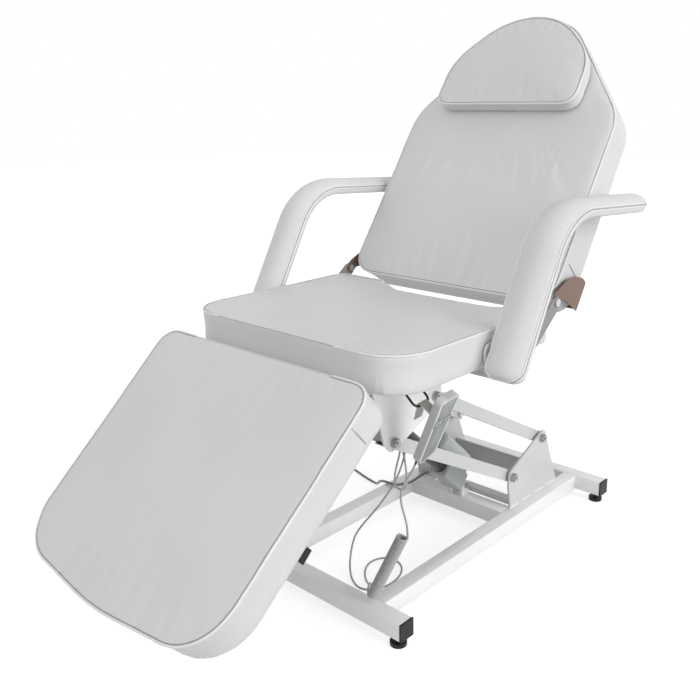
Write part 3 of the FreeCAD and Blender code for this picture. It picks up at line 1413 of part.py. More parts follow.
# Mains lead: root on the actuator, run over the bars, coil on the floor, plug.
root_spot = boot_spot - Vector(S.boot_long, 0, 0)
bar_z = tube_top + S.lead_radius + 0.4
floor_lead = S.lead_radius + 0.2
root_points = [
    root_spot, root_spot + Vector(-16, 0, 0), root_spot + Vector(-37, -6, -10), root_spot + Vector(-53, -22, -25),
    root_spot + Vector(-65, -39, -37),
]
over_bar = Vector(root_spot.x - 97, root_spot.y - 61, bar_z + 1.2)
root_points.append((root_points[-1] + over_bar) * 0.5)
edges, least = tangent_path(root_points)
print("mains root least radius", round(least, 1), "length", round(sum(e.Length for e in edges)))
node(feature("root_tube", tube_on(edges, S.lead_radius)), "mains_lead_root")
coil_mid = Vector(-455, S.mid_bar_y - 171, floor_lead)
coil_start = coil_mid + Vector(-S.coil_radius, 0, 0)
run_points = [
    root_points[-1], over_bar, (-177, root_spot.y - 65, bar_z + 2.5),
    (-205, root_spot.y - 57, bar_z - 4), (-231, root_spot.y - 40, bar_z - 20), (-255, root_spot.y - 19, 26),
    (-278, root_spot.y - 1, 9), (-304, root_spot.y + 9, floor_lead),
    (-336, root_spot.y + 15, floor_lead), (-369, root_spot.y + 24, floor_lead),
    (-402, root_spot.y + 34, floor_lead), (-440, root_spot.y + 32, floor_lead),
    (-474, root_spot.y + 10, floor_lead), (-496, root_spot.y - 26, floor_lead),
    (-504, root_spot.y - 66, floor_lead), (coil_start.x, coil_start.y + 42, floor_lead),
    (coil_start.x, coil_start.y, floor_lead),
]
edges, least = tangent_path(run_points)
run_tube = tube_on(edges, S.lead_radius)
length = sum(e.Length for e in edges)
print("mains run least radius", round(least, 1), "length", round(length), "volume ratio", round(run_tube.Volume / (math.pi * S.lead_radius ** 2 * length), 4))
node(feature("run_tube", run_tube), "mains_lead")

coil_points = []
coil_ways = []
turns_in = 2.0
steps = int(turns_in * 2)
for i in range(steps + 1):
    turn = math.pi + i * math.pi
    reach = S.coil_radius - S.coil_step * i / 2
    coil_points.append(coil_mid + Vector(math.cos(turn), math.sin(turn), 0) * reach)
    coil_ways.append(Vector(-math.sin(turn), math.cos(turn), 0))
for i in range(steps + 2):
    turn = math.pi + (steps + 1 + i) * math.pi
    reach = S.coil_radius - S.coil_step * turns_in + S.coil_step * i / 2
    coil_points.append(coil_mid + Vector(math.cos(turn), math.sin(turn), 0) * reach + Vector(0, 0, S.coil_step))
    coil_ways.append(Vector(-math.sin(turn), math.cos(turn), 0))
coil_edges = biarcs(coil_points, coil_ways)
print("coil self gap", round(least_gap(coil_edges, S.lead_radius, 8), 2))
end = coil_points[-1]
plug_mid = Vector(end.x + 4, end.y - 96, S.plug_radius + 0.3)
out_points = [
    end, end + coil_ways[-1] * 30, (plug_mid.x - 1, end.y - 64, plug_mid.z), plug_mid,
]
out_edges, least = tangent_path(out_points)
print("coil exit least radius", round(least, 1))
coil_tube = tube_on(coil_edges + out_edges, S.lead_radius)
length = sum(e.Length for e in coil_edges + out_edges)
print("coil length", round(length), "volume ratio", round(coil_tube.Volume / (math.pi * S.lead_radius ** 2 * length), 4))
node(feature("coil_tube", coil_tube), "mains_coil")
plug_at = Placement(plug_mid, Rotation(Vector(1, 0, 0), 90))
neck = inner("Part::Cone", "plug_neck")
bind(neck, Radius1="lead_radius * 1.5", Radius2="plug_radius", Height="plug_long * 0.35")
neck.Placement = plug_at
trunk = rod(
    "plug_trunk", plug_at.multiply(Placement(Vector(0, 0, S.plug_long * 0.35), Rotation())), "plug_radius",
    "plug_long * 0.65",
)
prongs = []
for word, way in SIDES:
    spot = plug_at.multiply(Placement(Vector(way * 7.0, 0, S.plug_long - 1), Rotation()))
    prongs.append(rod("plug_prong_" + word, spot, "plug_pin", "plug_pin_long + 1"))
node(join("plug_whole", [neck, trunk] + prongs), "mains_plug")

# Bolts that stay with the carriage.
hinge_bolts = []
for word, way in SIDES:
    hinge_bolts.append(
        bolt(
            "leg_bolt_" + word, way * (lug_x + S.plate_thick), leg_pin[0], leg_pin[1], way,
            "plate_thick + lug_gap + plate_thick", "leg_pin_radius", "bolt_head * 0.7", "bolt_head_thick * 0.7",
        )
    )
    hinge_bolts.append(
        bolt(
            "back_bolt_" + word, way * (ear_x + S.ear_thick), back_pin[0], back_pin[1], way,
            "ear_thick + hinge_gap + hinge_plate_thick", "hinge_pin_radius", "bolt_head * 0.9",
            "bolt_head_thick * 0.6",
        )
    )
    hinge_bolts.append(
        rod(
            "arm_pin_" + word,
            along_x((ear_x if way > 0 else -arm_x - S.arm_wide / 2), *arm_pin), "hinge_pin_radius",
            "arm_gap + arm_wide / 2 - ear_gap",
        )
    )
node(
    group(
        "carriage_bolt_set",
        pivot_bolts("carriage_bolt", (front, rear)) + [clevis_pin("top_pin", top_pin)] + hinge_bolts,
    ),
    "carriage_bolts",
)

doc.recompute()

# Check every object and write one file for each sub-part.
wrong = []
for thing in doc.Objects:
    if "Invalid" in thing.State or "Error" in thing.State:
        wrong.append("%s %s" % (thing.Name, thing.State))
labels = [thing.Label for thing in NODES]
if len(set(labels)) != len(labels):
    wrong.append("labels repeat")
for thing in NODES:
    shape = thing.Shape
    if shape.isNull() or not shape.isValid() or shape.Volume <= 0:
        wrong.append("%s shape" % thing.Label)
if wrong:
    raise RuntimeError("; ".join(wrong))

os.makedirs("parts", exist_ok=True)
whole = FreeCAD.BoundBox()
for thing in NODES:
    thing.Shape.exportStep(os.path.join("parts", thing.Label + ".step"))
    if not thing.Label.startswith(("handset_cord", "mains")):
        whole.add(thing.Shape.BoundBox)
print(len(NODES), "sub-parts; box without cords", whole)
print("pins", "low", low, "high", high, "front", front, "rear", rear)
print("pins", "base", base_pin, "top", top_pin, "leg", leg_pin, "back", back_pin, "arm", arm_pin)
print("hand", HAND, "keys", key_spots)
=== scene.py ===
"""Looks of a salon treatment chair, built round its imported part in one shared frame."""

import json
import logging
import math
from dataclasses import dataclass, field
from enum import Enum
from typing import Callable, Dict, List, Optional, Sequence, Tuple

import bmesh
import bpy
from mathutils import Matrix, Vector
from mathutils.bvhtree import BVHTree
from mathutils.kdtree import KDTree


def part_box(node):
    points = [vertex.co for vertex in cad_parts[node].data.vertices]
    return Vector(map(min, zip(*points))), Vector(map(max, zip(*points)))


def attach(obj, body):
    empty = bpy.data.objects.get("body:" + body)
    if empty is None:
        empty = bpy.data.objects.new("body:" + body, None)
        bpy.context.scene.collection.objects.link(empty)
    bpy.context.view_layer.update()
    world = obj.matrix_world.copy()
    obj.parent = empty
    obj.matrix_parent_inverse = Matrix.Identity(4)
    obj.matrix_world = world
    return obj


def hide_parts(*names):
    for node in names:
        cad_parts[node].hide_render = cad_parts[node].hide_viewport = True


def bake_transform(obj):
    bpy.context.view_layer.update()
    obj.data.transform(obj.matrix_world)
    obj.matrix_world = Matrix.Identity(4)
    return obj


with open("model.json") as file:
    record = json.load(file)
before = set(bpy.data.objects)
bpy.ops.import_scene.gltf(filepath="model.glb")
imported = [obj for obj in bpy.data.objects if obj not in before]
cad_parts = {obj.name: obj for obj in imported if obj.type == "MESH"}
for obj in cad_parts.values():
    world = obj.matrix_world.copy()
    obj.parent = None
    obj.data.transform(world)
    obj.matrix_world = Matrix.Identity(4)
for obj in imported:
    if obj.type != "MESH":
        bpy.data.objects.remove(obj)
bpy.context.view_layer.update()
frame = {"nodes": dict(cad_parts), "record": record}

LOG = logging.getLogger("chair")
Point = Tuple[float, float]
MM = 0.001
SEAT_Y = -280.96774647
SEAT_Z = 566.05178050
LEG_PIN = (-274.06774647, 557.55178050)
BACK_PIN = (240.73225353, 650.55178050)
ARM_PIN = (-8.76774647, 596.35178050)
LEG_SLOPE = 42.3
BACK_SLOPE = 55.6
BACK_TAPER = 2.2
BACK_THICK = 98.0
MERGE = 1e-5
SHADE_SPAN = (0.3, 0.7)
COAT_ROUGHNESS = 0.15
BUMP_DEPTH = 0.0006
WHITE = (1.0, 1.0, 1.0, 1.0)


class Skin(Enum):
    """Named surface textures that a finish can carry."""

    PLAIN = "plain"
    LEATHER = "leather"
    PEEL = "peel"
    BRUSHED = "brushed"
    WOOD = "wood"


class Side(Enum):
    """The two sides of the chair and the sign of their x."""

    LEFT = -1
    RIGHT = 1


# Small tools for meshes and lines.


def link(obj: bpy.types.Object) -> bpy.types.Object:
    """Puts an object in the scene.

    Args:
        obj: a new object.

    Returns:
        The same object.
    """
    bpy.context.scene.collection.objects.link(obj)
    return obj


def solid(name: str, bm: bmesh.types.BMesh, smooth: bool = True) -> bpy.types.Object:
    """Makes an object from a bmesh and frees the bmesh.

    Args:
        name: name of the object.
        bm: the geometry.
        smooth: whether faces shade smoothly.

    Returns:
        The linked object.
    """
    bmesh.ops.recalc_face_normals(bm, faces=bm.faces)
    mesh = bpy.data.meshes.new(name)
    bm.to_mesh(mesh)
    bm.free()
    if smooth:
        mesh.polygons.foreach_set("use_smooth", [True] * len(mesh.polygons))
    return link(bpy.data.objects.new(name, mesh))


def tube(
    name: str, points: Sequence[Vector], radius: float, closed: bool = False, sides: int = 10
) -> bpy.types.Object:
    """A round tube along points, with its ends capped when it is open.

    Args:
        name: name of the object.
        points: centre line in metres.
        radius: tube radius in metres.
        closed: whether the line returns to its start.
        sides: corners round the tube.

    Returns:
        The tube.
    """
    bm = bmesh.new()
    count = len(points)
    rings: List[List[bmesh.types.BMVert]] = []
    normal: Optional[Vector] = None
    for i, spot in enumerate(points):
        ahead = points[(i + 1) % count] if closed or i < count - 1 else points[i]
        behind = points[i - 1] if closed or i > 0 else points[i]
        way = (ahead - behind).normalized()
        if normal is None:
            normal = way.orthogonal()
        normal = (normal - way * normal.dot(way)).normalized()
        across = way.cross(normal)
        ring = []
        for k in range(sides):
            turn = 2 * math.pi * k / sides
            ring.append(bm.verts.new(spot + (normal * math.cos(turn) + across * math.sin(turn)) * radius))
        rings.append(ring)
    for i in range(count if closed else count - 1):
        here = rings[i]
        there = rings[(i + 1) % count]
        for k in range(sides):
            bm.faces.new((here[k], here[(k + 1) % sides], there[(k + 1) % sides], there[k]))
    if not closed:
        bm.faces.new(rings[0][::-1])
        bm.faces.new(rings[-1])
    return solid(name, bm)


def rounded(points: Sequence[Point], radii: Sequence[float], step: float = 4.0) -> List[Point]:
    """Points along a polygon with rounded corners.

    Args:
        points: corners in millimetres, counter-clockwise.
        radii: a radius for each corner.
        step: distance from point to point.

    Returns:
        Points at about even steps round the outline.
    """
    line: List[Vector] = []
    count = len(points)
    for i in range(count):
        here = Vector(points[i])
        back = (Vector(points[i - 1]) - here).normalized()
        ahead = (Vector(points[(i + 1) % count]) - here).normalized()
        between = back.angle(ahead)
        reach = radii[i] / math.tan(between / 2)
        centre = here + (back + ahead).normalized() * (radii[i] / math.sin(between / 2))
        first = here + back * reach - centre
        turn = math.pi - between
        pieces = max(2, int(radii[i] * turn / step))
        for k in range(pieces + 1):
            angle = turn * k / pieces
            spot = Vector((
                first.x * math.cos(angle) - first.y * math.sin(angle),
                first.x * math.sin(angle) + first.y * math.cos(angle),
            ))
            line.append(centre + spot)
    even: List[Point] = []
    for i in range(len(line)):
        here = line[i]
        there = line[(i + 1) % len(line)]
        pieces = max(1, int((there - here).length / step))
        for k in range(pieces):
            spot = here.lerp(there, k / pieces)
            even.append((spot.x, spot.y))
    return even


def inset(points: Sequence[Point], gaps: Sequence[float]) -> List[Point]:
    """Corners of a polygon with each edge moved inward.

    Args:
        points: corners, counter-clockwise.
        gaps: a distance for each edge.

    Returns:
        The new corners.
    """
    count = len(points)
    lines = []
    for i in range(count):
        ax, ay = points[i]
        bx, by = points[(i + 1) % count]
        size = math.hypot(bx - ax, by - ay)
        nx, ny = -(by - ay) / size, (bx - ax) / size
        lines.append((ax + nx * gaps[i], ay + ny * gaps[i], (bx - ax) / size, (by - ay) / size))
    moved = []
    for i in range(count):
        px, py, dx, dy = lines[i - 1]
        qx, qy, ex, ey = lines[i]
        step = ((qx - px) * ey - (qy - py) * ex) / (dx * ey - dy * ex)
        moved.append((px + dx * step, py + dy * step))
    return moved


def ramp(share: float) -> float:
    """A smooth step.

    Args:
        share: place along it.

    Returns:
        A value from 0 to 1.
    """
    held = min(1.0, max(0.0, share))
    return held * held * (3 - 2 * held)


def even_out(line: Sequence[Vector]) -> List[Vector]:
    """A closed line with its small steps averaged out.

    Args:
        line: the line's points.

    Returns:
        As many points.
    """
    count = len(line)
    reach = 2
    even = []
    for i in range(count):
        total = Vector((0.0, 0.0, 0.0))
        for k in range(-reach, reach + 1):
            total += line[(i + k) % count]
        even.append(total / (2 * reach + 1))
    return even


def nurbs(name: str, points: Sequence[Vector], radius: float = 0.0) -> bpy.types.Object:
    """A curve of one NURBS spline through its control points.

    Args:
        name: name of the object.
        points: control points in metres.
        radius: bevel radius, or zero for a bare line.

    Returns:
        The curve.
    """
    curve = bpy.data.curves.new(name, "CURVE")
    curve.dimensions = "3D"
    curve.resolution_u = 5
    curve.bevel_depth = radius
    curve.bevel_resolution = 3
    curve.use_fill_caps = True
    spline = curve.splines.new("NURBS")
    spline.points.add(len(points) - 1)
    for spot, point in zip(spline.points, points):
        spot.co = (point.x, point.y, point.z, 1.0)
    spline.order_u = 3
    spline.use_endpoint_u = True
    return link(bpy.data.objects.new(name, curve))


def basis(x: Vector, y: Vector, z: Vector, origin: Vector) -> Matrix:
    """A frame from its axes and origin.

    Args:
        x: first axis.
        y: second axis.
        z: third axis.
        origin: where the frame stands, in metres.

    Returns:
        The matrix that takes local points to the shared frame.
    """
    turn = Matrix((x, y, z)).transposed().to_4x4()
    return Matrix.Translation(origin) @ turn


def evaluated(obj: bpy.types.Object) -> bpy.types.Mesh:
    """Mesh of an object with its modifiers applied.

    Args:
        obj: the object.

    Returns:
        A new mesh.
    """
    graph = bpy.context.evaluated_depsgraph_get()
    return bpy.data.meshes.new_from_object(obj.evaluated_get(graph))


def apply_all(obj: bpy.types.Object) -> None:
    """Replaces an object's mesh by its evaluated one and drops its modifiers.

    Args:
        obj: a mesh object.
    """
    mesh = evaluated(obj)
    obj.modifiers.clear()
    old = obj.data
    obj.data = mesh
    bpy.data.meshes.remove(old)


def surface(obj: bpy.types.Object) -> BVHTree:
    """A tree for finding the nearest spot of an object's mesh.

    Args:
        obj: a mesh object.

    Returns:
        The tree.
    """
    bm = bmesh.new()
    bm.from_mesh(obj.data)
    tree = BVHTree.FromBMesh(bm)
    bm.free()
    return tree


def remeshed(
    name: str, nodes: Sequence[str], voxel: float, passes: int, place: Matrix
) -> bpy.types.Object:
    """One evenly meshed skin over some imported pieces, in a local frame.

    Args:
        name: name of the object.
        nodes: the pieces that it covers.
        voxel: size of its faces in millimetres.
        passes: how often it is smoothed.
        place: the local frame.

    Returns:
        The skin.
    """
    mesh = frame["nodes"][nodes[0]].data.copy()
    bm = bmesh.new()
    bm.from_mesh(mesh)
    for node in nodes[1:]:
        bm.from_mesh(frame["nodes"][node].data)
    bmesh.ops.remove_doubles(bm, verts=bm.verts, dist=MERGE)
    bmesh.ops.transform(bm, matrix=place.inverted(), verts=bm.verts)
    bm.to_mesh(mesh)
    bm.free()
    skin = link(bpy.data.objects.new(name, mesh))
    remesh = skin.modifiers.new("remesh", "REMESH")
    remesh.mode = "VOXEL"
    remesh.voxel_size = voxel * MM
    apply_all(skin)
    bm = bmesh.new()
    bm.from_mesh(skin.data)
    for _ in range(passes):
        bmesh.ops.smooth_vert(
            bm, verts=bm.verts, factor=0.5, use_axis_x=True, use_axis_y=True, use_axis_z=True
        )
    bm.to_mesh(skin.data)
    bm.free()
    return skin


def round_off(skin: bpy.types.Object) -> None:
    """Subdivides a skin once and shades it smoothly.

    Args:
        skin: a mesh object.
    """
    skin.modifiers.new("round", "SUBSURF").levels = 1
    apply_all(skin)
    skin.data.polygons.foreach_set("use_smooth", [True] * len(skin.data.polygons))


# Finishes.


def effect(name: str, outputs: Sequence[str]) -> Tuple[bpy.types.ShaderNodeTree, bool]:
    """A node group for a shared effect, made once.

    Args:
        name: name of the group.
        outputs: names of its float outputs.

    Returns:
        The group, and whether it is new and still empty.
    """
    found = bpy.data.node_groups.get(name)
    if found is not None:
        return found, False
    group = bpy.data.node_groups.new(name, "ShaderNodeTree")
    group.interface.new_socket(name="Vector", in_out="INPUT", socket_type="NodeSocketVector")
    group.interface.new_socket(name="Scale", in_out="INPUT", socket_type="NodeSocketFloat")
    for word in outputs:
        group.interface.new_socket(name=word, in_out="OUTPUT", socket_type="NodeSocketFloat")
    return group, True


def grain_effect() -> bpy.types.ShaderNodeTree:
    """Fine leather-like grain with a slow drift in shade.

    Returns:
        The group, with outputs Height and Shade.
    """
    group, fresh = effect("skin_grain", ("Height", "Shade"))
    if not fresh:
        return group
    nodes = group.nodes
    links = group.links
    start = nodes.new("NodeGroupInput")
    end = nodes.new("NodeGroupOutput")
    cells = nodes.new("ShaderNodeTexVoronoi")
    cells.feature = "SMOOTH_F1"
    noise = nodes.new("ShaderNodeTexNoise")
    noise.inputs["Detail"].default_value = 3.0
    cell_share = 0.6
    both = nodes.new("ShaderNodeMath")
    both.operation = "MULTIPLY_ADD"
    both.inputs[1].default_value = cell_share
    drift = nodes.new("ShaderNodeTexNoise")
    drift.inputs["Scale"].default_value = 4.0
    drift.inputs["Detail"].default_value = 2.0
    for node in (cells, noise):
        links.new(start.outputs["Vector"], node.inputs["Vector"])
        links.new(start.outputs["Scale"], node.inputs["Scale"])
    links.new(start.outputs["Vector"], drift.inputs["Vector"])
    links.new(cells.outputs["Distance"], both.inputs[0])
    links.new(noise.outputs[0], both.inputs[2])
    links.new(both.outputs[0], end.inputs["Height"])
    links.new(drift.outputs[0], end.inputs["Shade"])
    return group


def streak_effect() -> bpy.types.ShaderNodeTree:
    """Long fine streaks, for brushed metal and board.

    Returns:
        The group, with outputs Height and Shade.
    """
    group, fresh = effect("long_streaks", ("Height", "Shade"))
    if not fresh:
        return group
    nodes = group.nodes
    links = group.links
    start = nodes.new("NodeGroupInput")
    end = nodes.new("NodeGroupOutput")
    along = 0.06
    stretch = nodes.new("ShaderNodeMapping")
    stretch.inputs["Scale"].default_value = (1.0, along, 1.0)
    noise = nodes.new("ShaderNodeTexNoise")
    noise.inputs["Detail"].default_value = 4.0
    links.new(start.outputs["Vector"], stretch.inputs["Vector"])
    links.new(stretch.outputs["Vector"], noise.inputs["Vector"])
    links.new(start.outputs["Scale"], noise.inputs["Scale"])
    links.new(noise.outputs[0], end.inputs["Height"])
    links.new(noise.outputs[0], end.inputs["Shade"])
    return group


@dataclass(frozen=True)
class Finish:
    """One finish: a colour with its gloss and surface texture."""

    name: str
    colour: Tuple[float, float, float]
    roughness: float
    metallic: float = 0.0
    coat: float = 0.0
    gloss: float = 0.5
    skin: Skin = Skin.PLAIN
    scale: float = 400.0
    depth: float = 0.1
    drift: float = 0.03
    edge: float = 0.0

    def make(self) -> bpy.types.Material:
        """Builds the material, or finds it when it was built before.

        Returns:
            The material.
        """
        label = self.name + "_finish"
        found = bpy.data.materials.get(label)
        if found is not None:
            return found
        material = bpy.data.materials.new(label)
        material.use_nodes = True
        nodes = material.node_tree.nodes
        links = material.node_tree.links
        shader = nodes["Principled BSDF"]
        shader.inputs["Roughness"].default_value = self.roughness
        shader.inputs["Metallic"].default_value = self.metallic
        shader.inputs["Specular IOR Level"].default_value = self.gloss
        shader.inputs["Coat Weight"].default_value = self.coat
        shader.inputs["Coat Roughness"].default_value = COAT_ROUGHNESS
        coords = nodes.new("ShaderNodeTexCoord")
        group = nodes.new("ShaderNodeGroup")
        streaky = self.skin in (Skin.BRUSHED, Skin.WOOD)
        group.node_tree = streak_effect() if streaky else grain_effect()
        group.inputs["Scale"].default_value = self.scale
        links.new(coords.outputs["Object"], group.inputs["Vector"])
        shades = nodes.new("ShaderNodeValToRGB")
        low = tuple(c * (1 - self.drift) for c in self.colour)
        high = tuple(min(1.0, c * (1 + self.drift)) for c in self.colour)
        for stop, spot, shade in zip(shades.color_ramp.elements, SHADE_SPAN, (low, high)):
            stop.position = spot
            stop.color = (*shade, 1.0)
        links.new(group.outputs["Shade"], shades.inputs["Fac"])
        links.new(shades.outputs["Color"], shader.inputs["Base Color"])
        if self.skin is Skin.PLAIN and self.edge == 0.0:
            return material
        bump = nodes.new("ShaderNodeBump")
        bump.inputs["Strength"].default_value = self.depth
        bump.inputs["Distance"].default_value = BUMP_DEPTH
        links.new(group.outputs["Height"], bump.inputs["Height"])
        if self.edge > 0.0:
            soft = nodes.new("ShaderNodeBevel")
            soft.samples = 4
            soft.inputs["Radius"].default_value = self.edge
            links.new(soft.outputs["Normal"], bump.inputs["Normal"])
        links.new(bump.outputs["Normal"], shader.inputs["Normal"])
        return material


def painted(
    name: str, colour: Tuple[float, float, float], roughness: float, coat: float = 0.0, edge: float = 0.0,
    depth: float = 0.03,
) -> Finish:
    """A sprayed paint with a faint orange peel.

    Args:
        name: name of the finish.
        colour: its colour.
        roughness: its roughness.
        coat: weight of its clear coat.
        edge: radius by which sharp edges look soft, in metres.
        depth: strength of the peel.

    Returns:
        The finish.
    """
    return Finish(
        name, colour, roughness, coat=coat, skin=Skin.PEEL, scale=260.0, depth=depth, edge=edge
    )


FINISHES: Dict[str, Finish] = {
    finish.name: finish
    for finish in (
        Finish(
            "white_vinyl", (0.70, 0.70, 0.703), 0.44, gloss=0.3, skin=Skin.LEATHER, scale=900.0, depth=0.12,
            drift=0.02,
        ),
        painted("white_paint", (0.90, 0.90, 0.90), 0.28, 0.3, 0.0016),
        painted("dark_paint", (0.05, 0.05, 0.055), 0.40, edge=0.0008, depth=0.05),
        Finish("bronze_plate", (0.21, 0.125, 0.098), 0.38, 0.25, skin=Skin.PEEL, depth=0.05, edge=0.0007),
        Finish(
            "zinc_steel", (0.60, 0.61, 0.63), 0.30, 0.95, skin=Skin.PEEL, scale=500.0, depth=0.05,
            edge=0.0006,
        ),
        Finish("grey_sheet", (0.70, 0.71, 0.71), 0.40, 0.1, skin=Skin.BRUSHED, scale=900.0, depth=0.1),
        Finish("black_wire", (0.02, 0.02, 0.02), 0.30, coat=0.2),
        Finish("bright_rod", (0.75, 0.76, 0.78), 0.15, 1.0),
        Finish("dark_tube", (0.045, 0.045, 0.05), 0.32, 0.2, skin=Skin.PEEL, depth=0.04),
        Finish(
            "grey_plastic", (0.44, 0.46, 0.46), 0.42, skin=Skin.LEATHER, scale=1400.0, depth=0.08,
            edge=0.001,
        ),
        Finish("black_plastic", (0.010, 0.010, 0.010), 0.42, gloss=0.3, edge=0.0014),
        Finish("ivory_plastic", (0.66, 0.675, 0.67), 0.42, skin=Skin.LEATHER, scale=1500.0, depth=0.06),
        Finish("key_rubber", (0.40, 0.43, 0.40), 0.55),
        Finish("plywood", (0.60, 0.55, 0.49), 0.6, skin=Skin.WOOD, scale=120.0, depth=0.1, drift=0.05),
        Finish("cord_grey", (0.40, 0.41, 0.42), 0.45),
        Finish("cord_black", (0.20, 0.205, 0.205), 0.45),
    )
}
# A dark line of painted shadow laid just inside the piping.
PIPING_SHADOW = Finish("seam_shade", (0.33, 0.33, 0.33), 0.7)
# Grey for thin lines along seams and creases: painted shade of the crease.
CREASE_SHADE = Finish("fold_shade", (0.48, 0.48, 0.48), 0.7)
# White vinyl painted brighter as a highlight, for the piping and for the bright line on the leg rest's bare
# top edge.
PIPE_HIGHLIGHT = Finish("piping_white", (0.80, 0.80, 0.80), 0.4)
PANEL = Finish("hand_panel", (0.33, 0.352, 0.333), 0.5)
PRINT = Finish("hand_print", (0.10, 0.11, 0.10), 0.55)
TIE = Finish("tie_black", (0.02, 0.02, 0.02), 0.5)
# White paint darkened as painted shade for the brackets and links.
LIFT_PAINTED_SHADE = painted("lift_paint", (0.60, 0.605, 0.61), 0.30, 0.3, 0.0012)
# White paint kept at full brightness for the carriage parts as painted light, against the darker links.
CARRIAGE_PAINTED_LIGHT = painted("carriage_paint", (0.90, 0.905, 0.91), 0.30, 0.3, 0.0012)
CROSS_PAINT = painted("cross_paint", (0.70, 0.70, 0.70), 0.5)
# White paint darkened to grey as painted shade for the carriage front plate, which sits in shadow.
PLATE_PAINTED_SHADE = painted("shade_paint", (0.40, 0.41, 0.41), 0.35)
STRAP_PAINT = painted("strap_paint", (0.30, 0.285, 0.275), 0.45)
CHROME = Finish("nut_chrome", (0.40, 0.41, 0.42), 0.25, 0.9, edge=0.0004)
RELIEF = Finish("relief_dark", (0.09, 0.09, 0.09), 0.5)

# Imported pieces whose paint differs from that of their slot, by name and by how the name starts.
# The carriage front plate's grey is painted shade on white paint; the brackets and links take white paint
# darkened as painted shade, the carriage parts white paint kept bright as painted light.
OWN_PAINT_AND_SHADE: Dict[str, Finish] = {
    "carriage_front_plate": PLATE_PAINTED_SHADE,
    "seat_arm_cross": CROSS_PAINT,
    "seat_back_cross": STRAP_PAINT,
}
LIT_AND_SHADED_WHITES: Tuple[Tuple[str, Finish], ...] = (
    ("bracket", LIFT_PAINTED_SHADE),
    ("lower_link", LIFT_PAINTED_SHADE),
    ("upper_link", LIFT_PAINTED_SHADE),
    ("carriage", CARRIAGE_PAINTED_LIGHT),
)


def dress(obj: bpy.types.Object, finish: Finish) -> bpy.types.Object:
    """Gives an object one finish.

    Args:
        obj: a mesh or curve object.
        finish: its finish.

    Returns:
        The same object.
    """
    obj.data.materials.clear()
    obj.data.materials.append(finish.make())
    return obj


def mount(
    obj: bpy.types.Object, body: str, slot: str, nodes: Sequence[str] = (), finish: Optional[Finish] = None
) -> bpy.types.Object:
    """Lets a piece ride on a body, with its finish, and hides the nodes that it stands for.

    Args:
        obj: the piece, in place.
        body: body that it moves with.
        slot: material slot of the record, whose finish it takes when no other is given.
        nodes: nodes that it replaces.
        finish: a finish other than the slot's own.

    Returns:
        The same object.
    """
    dress(obj, finish or FINISHES[slot])
    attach(obj, body)
    if nodes:
        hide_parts(*nodes)
    LOG.info("piece %s rides on %s", obj.name, body)
    return obj


# Camera and studio.


@dataclass
class Eye:
    """The camera that sees the chair as the photo does."""

    place: Tuple[float, float, float] = (1.2054, -1.3008, 1.0746)
    azimuth: float = 41.112
    elevation: float = 14.910
    roll: float = -0.340
    lens: float = 42.2
    shift: Tuple[float, float] = (-0.0707, -0.0406)
    clip: Tuple[float, float] = (0.05, 60.0)

    def build(self) -> bpy.types.Object:
        """Makes the camera and gives it to the scene.

        Returns:
            The camera.
        """
        turn = math.radians(self.azimuth)
        rise = math.radians(self.elevation)
        right = Vector((math.cos(turn), math.sin(turn), 0.0))
        back = Vector((math.sin(turn) * math.cos(rise), -math.cos(turn) * math.cos(rise), math.sin(rise)))
        up = back.cross(right)
        data = bpy.data.cameras.new("eye")
        data.lens = self.lens
        data.shift_x, data.shift_y = self.shift
        data.clip_start, data.clip_end = self.clip
        camera = link(bpy.data.objects.new("eye", data))
        roll = Matrix.Rotation(math.radians(self.roll), 4, "Z")
        camera.matrix_world = basis(right, up, back, Vector(self.place)) @ roll
        bpy.context.scene.camera = camera
        return camera


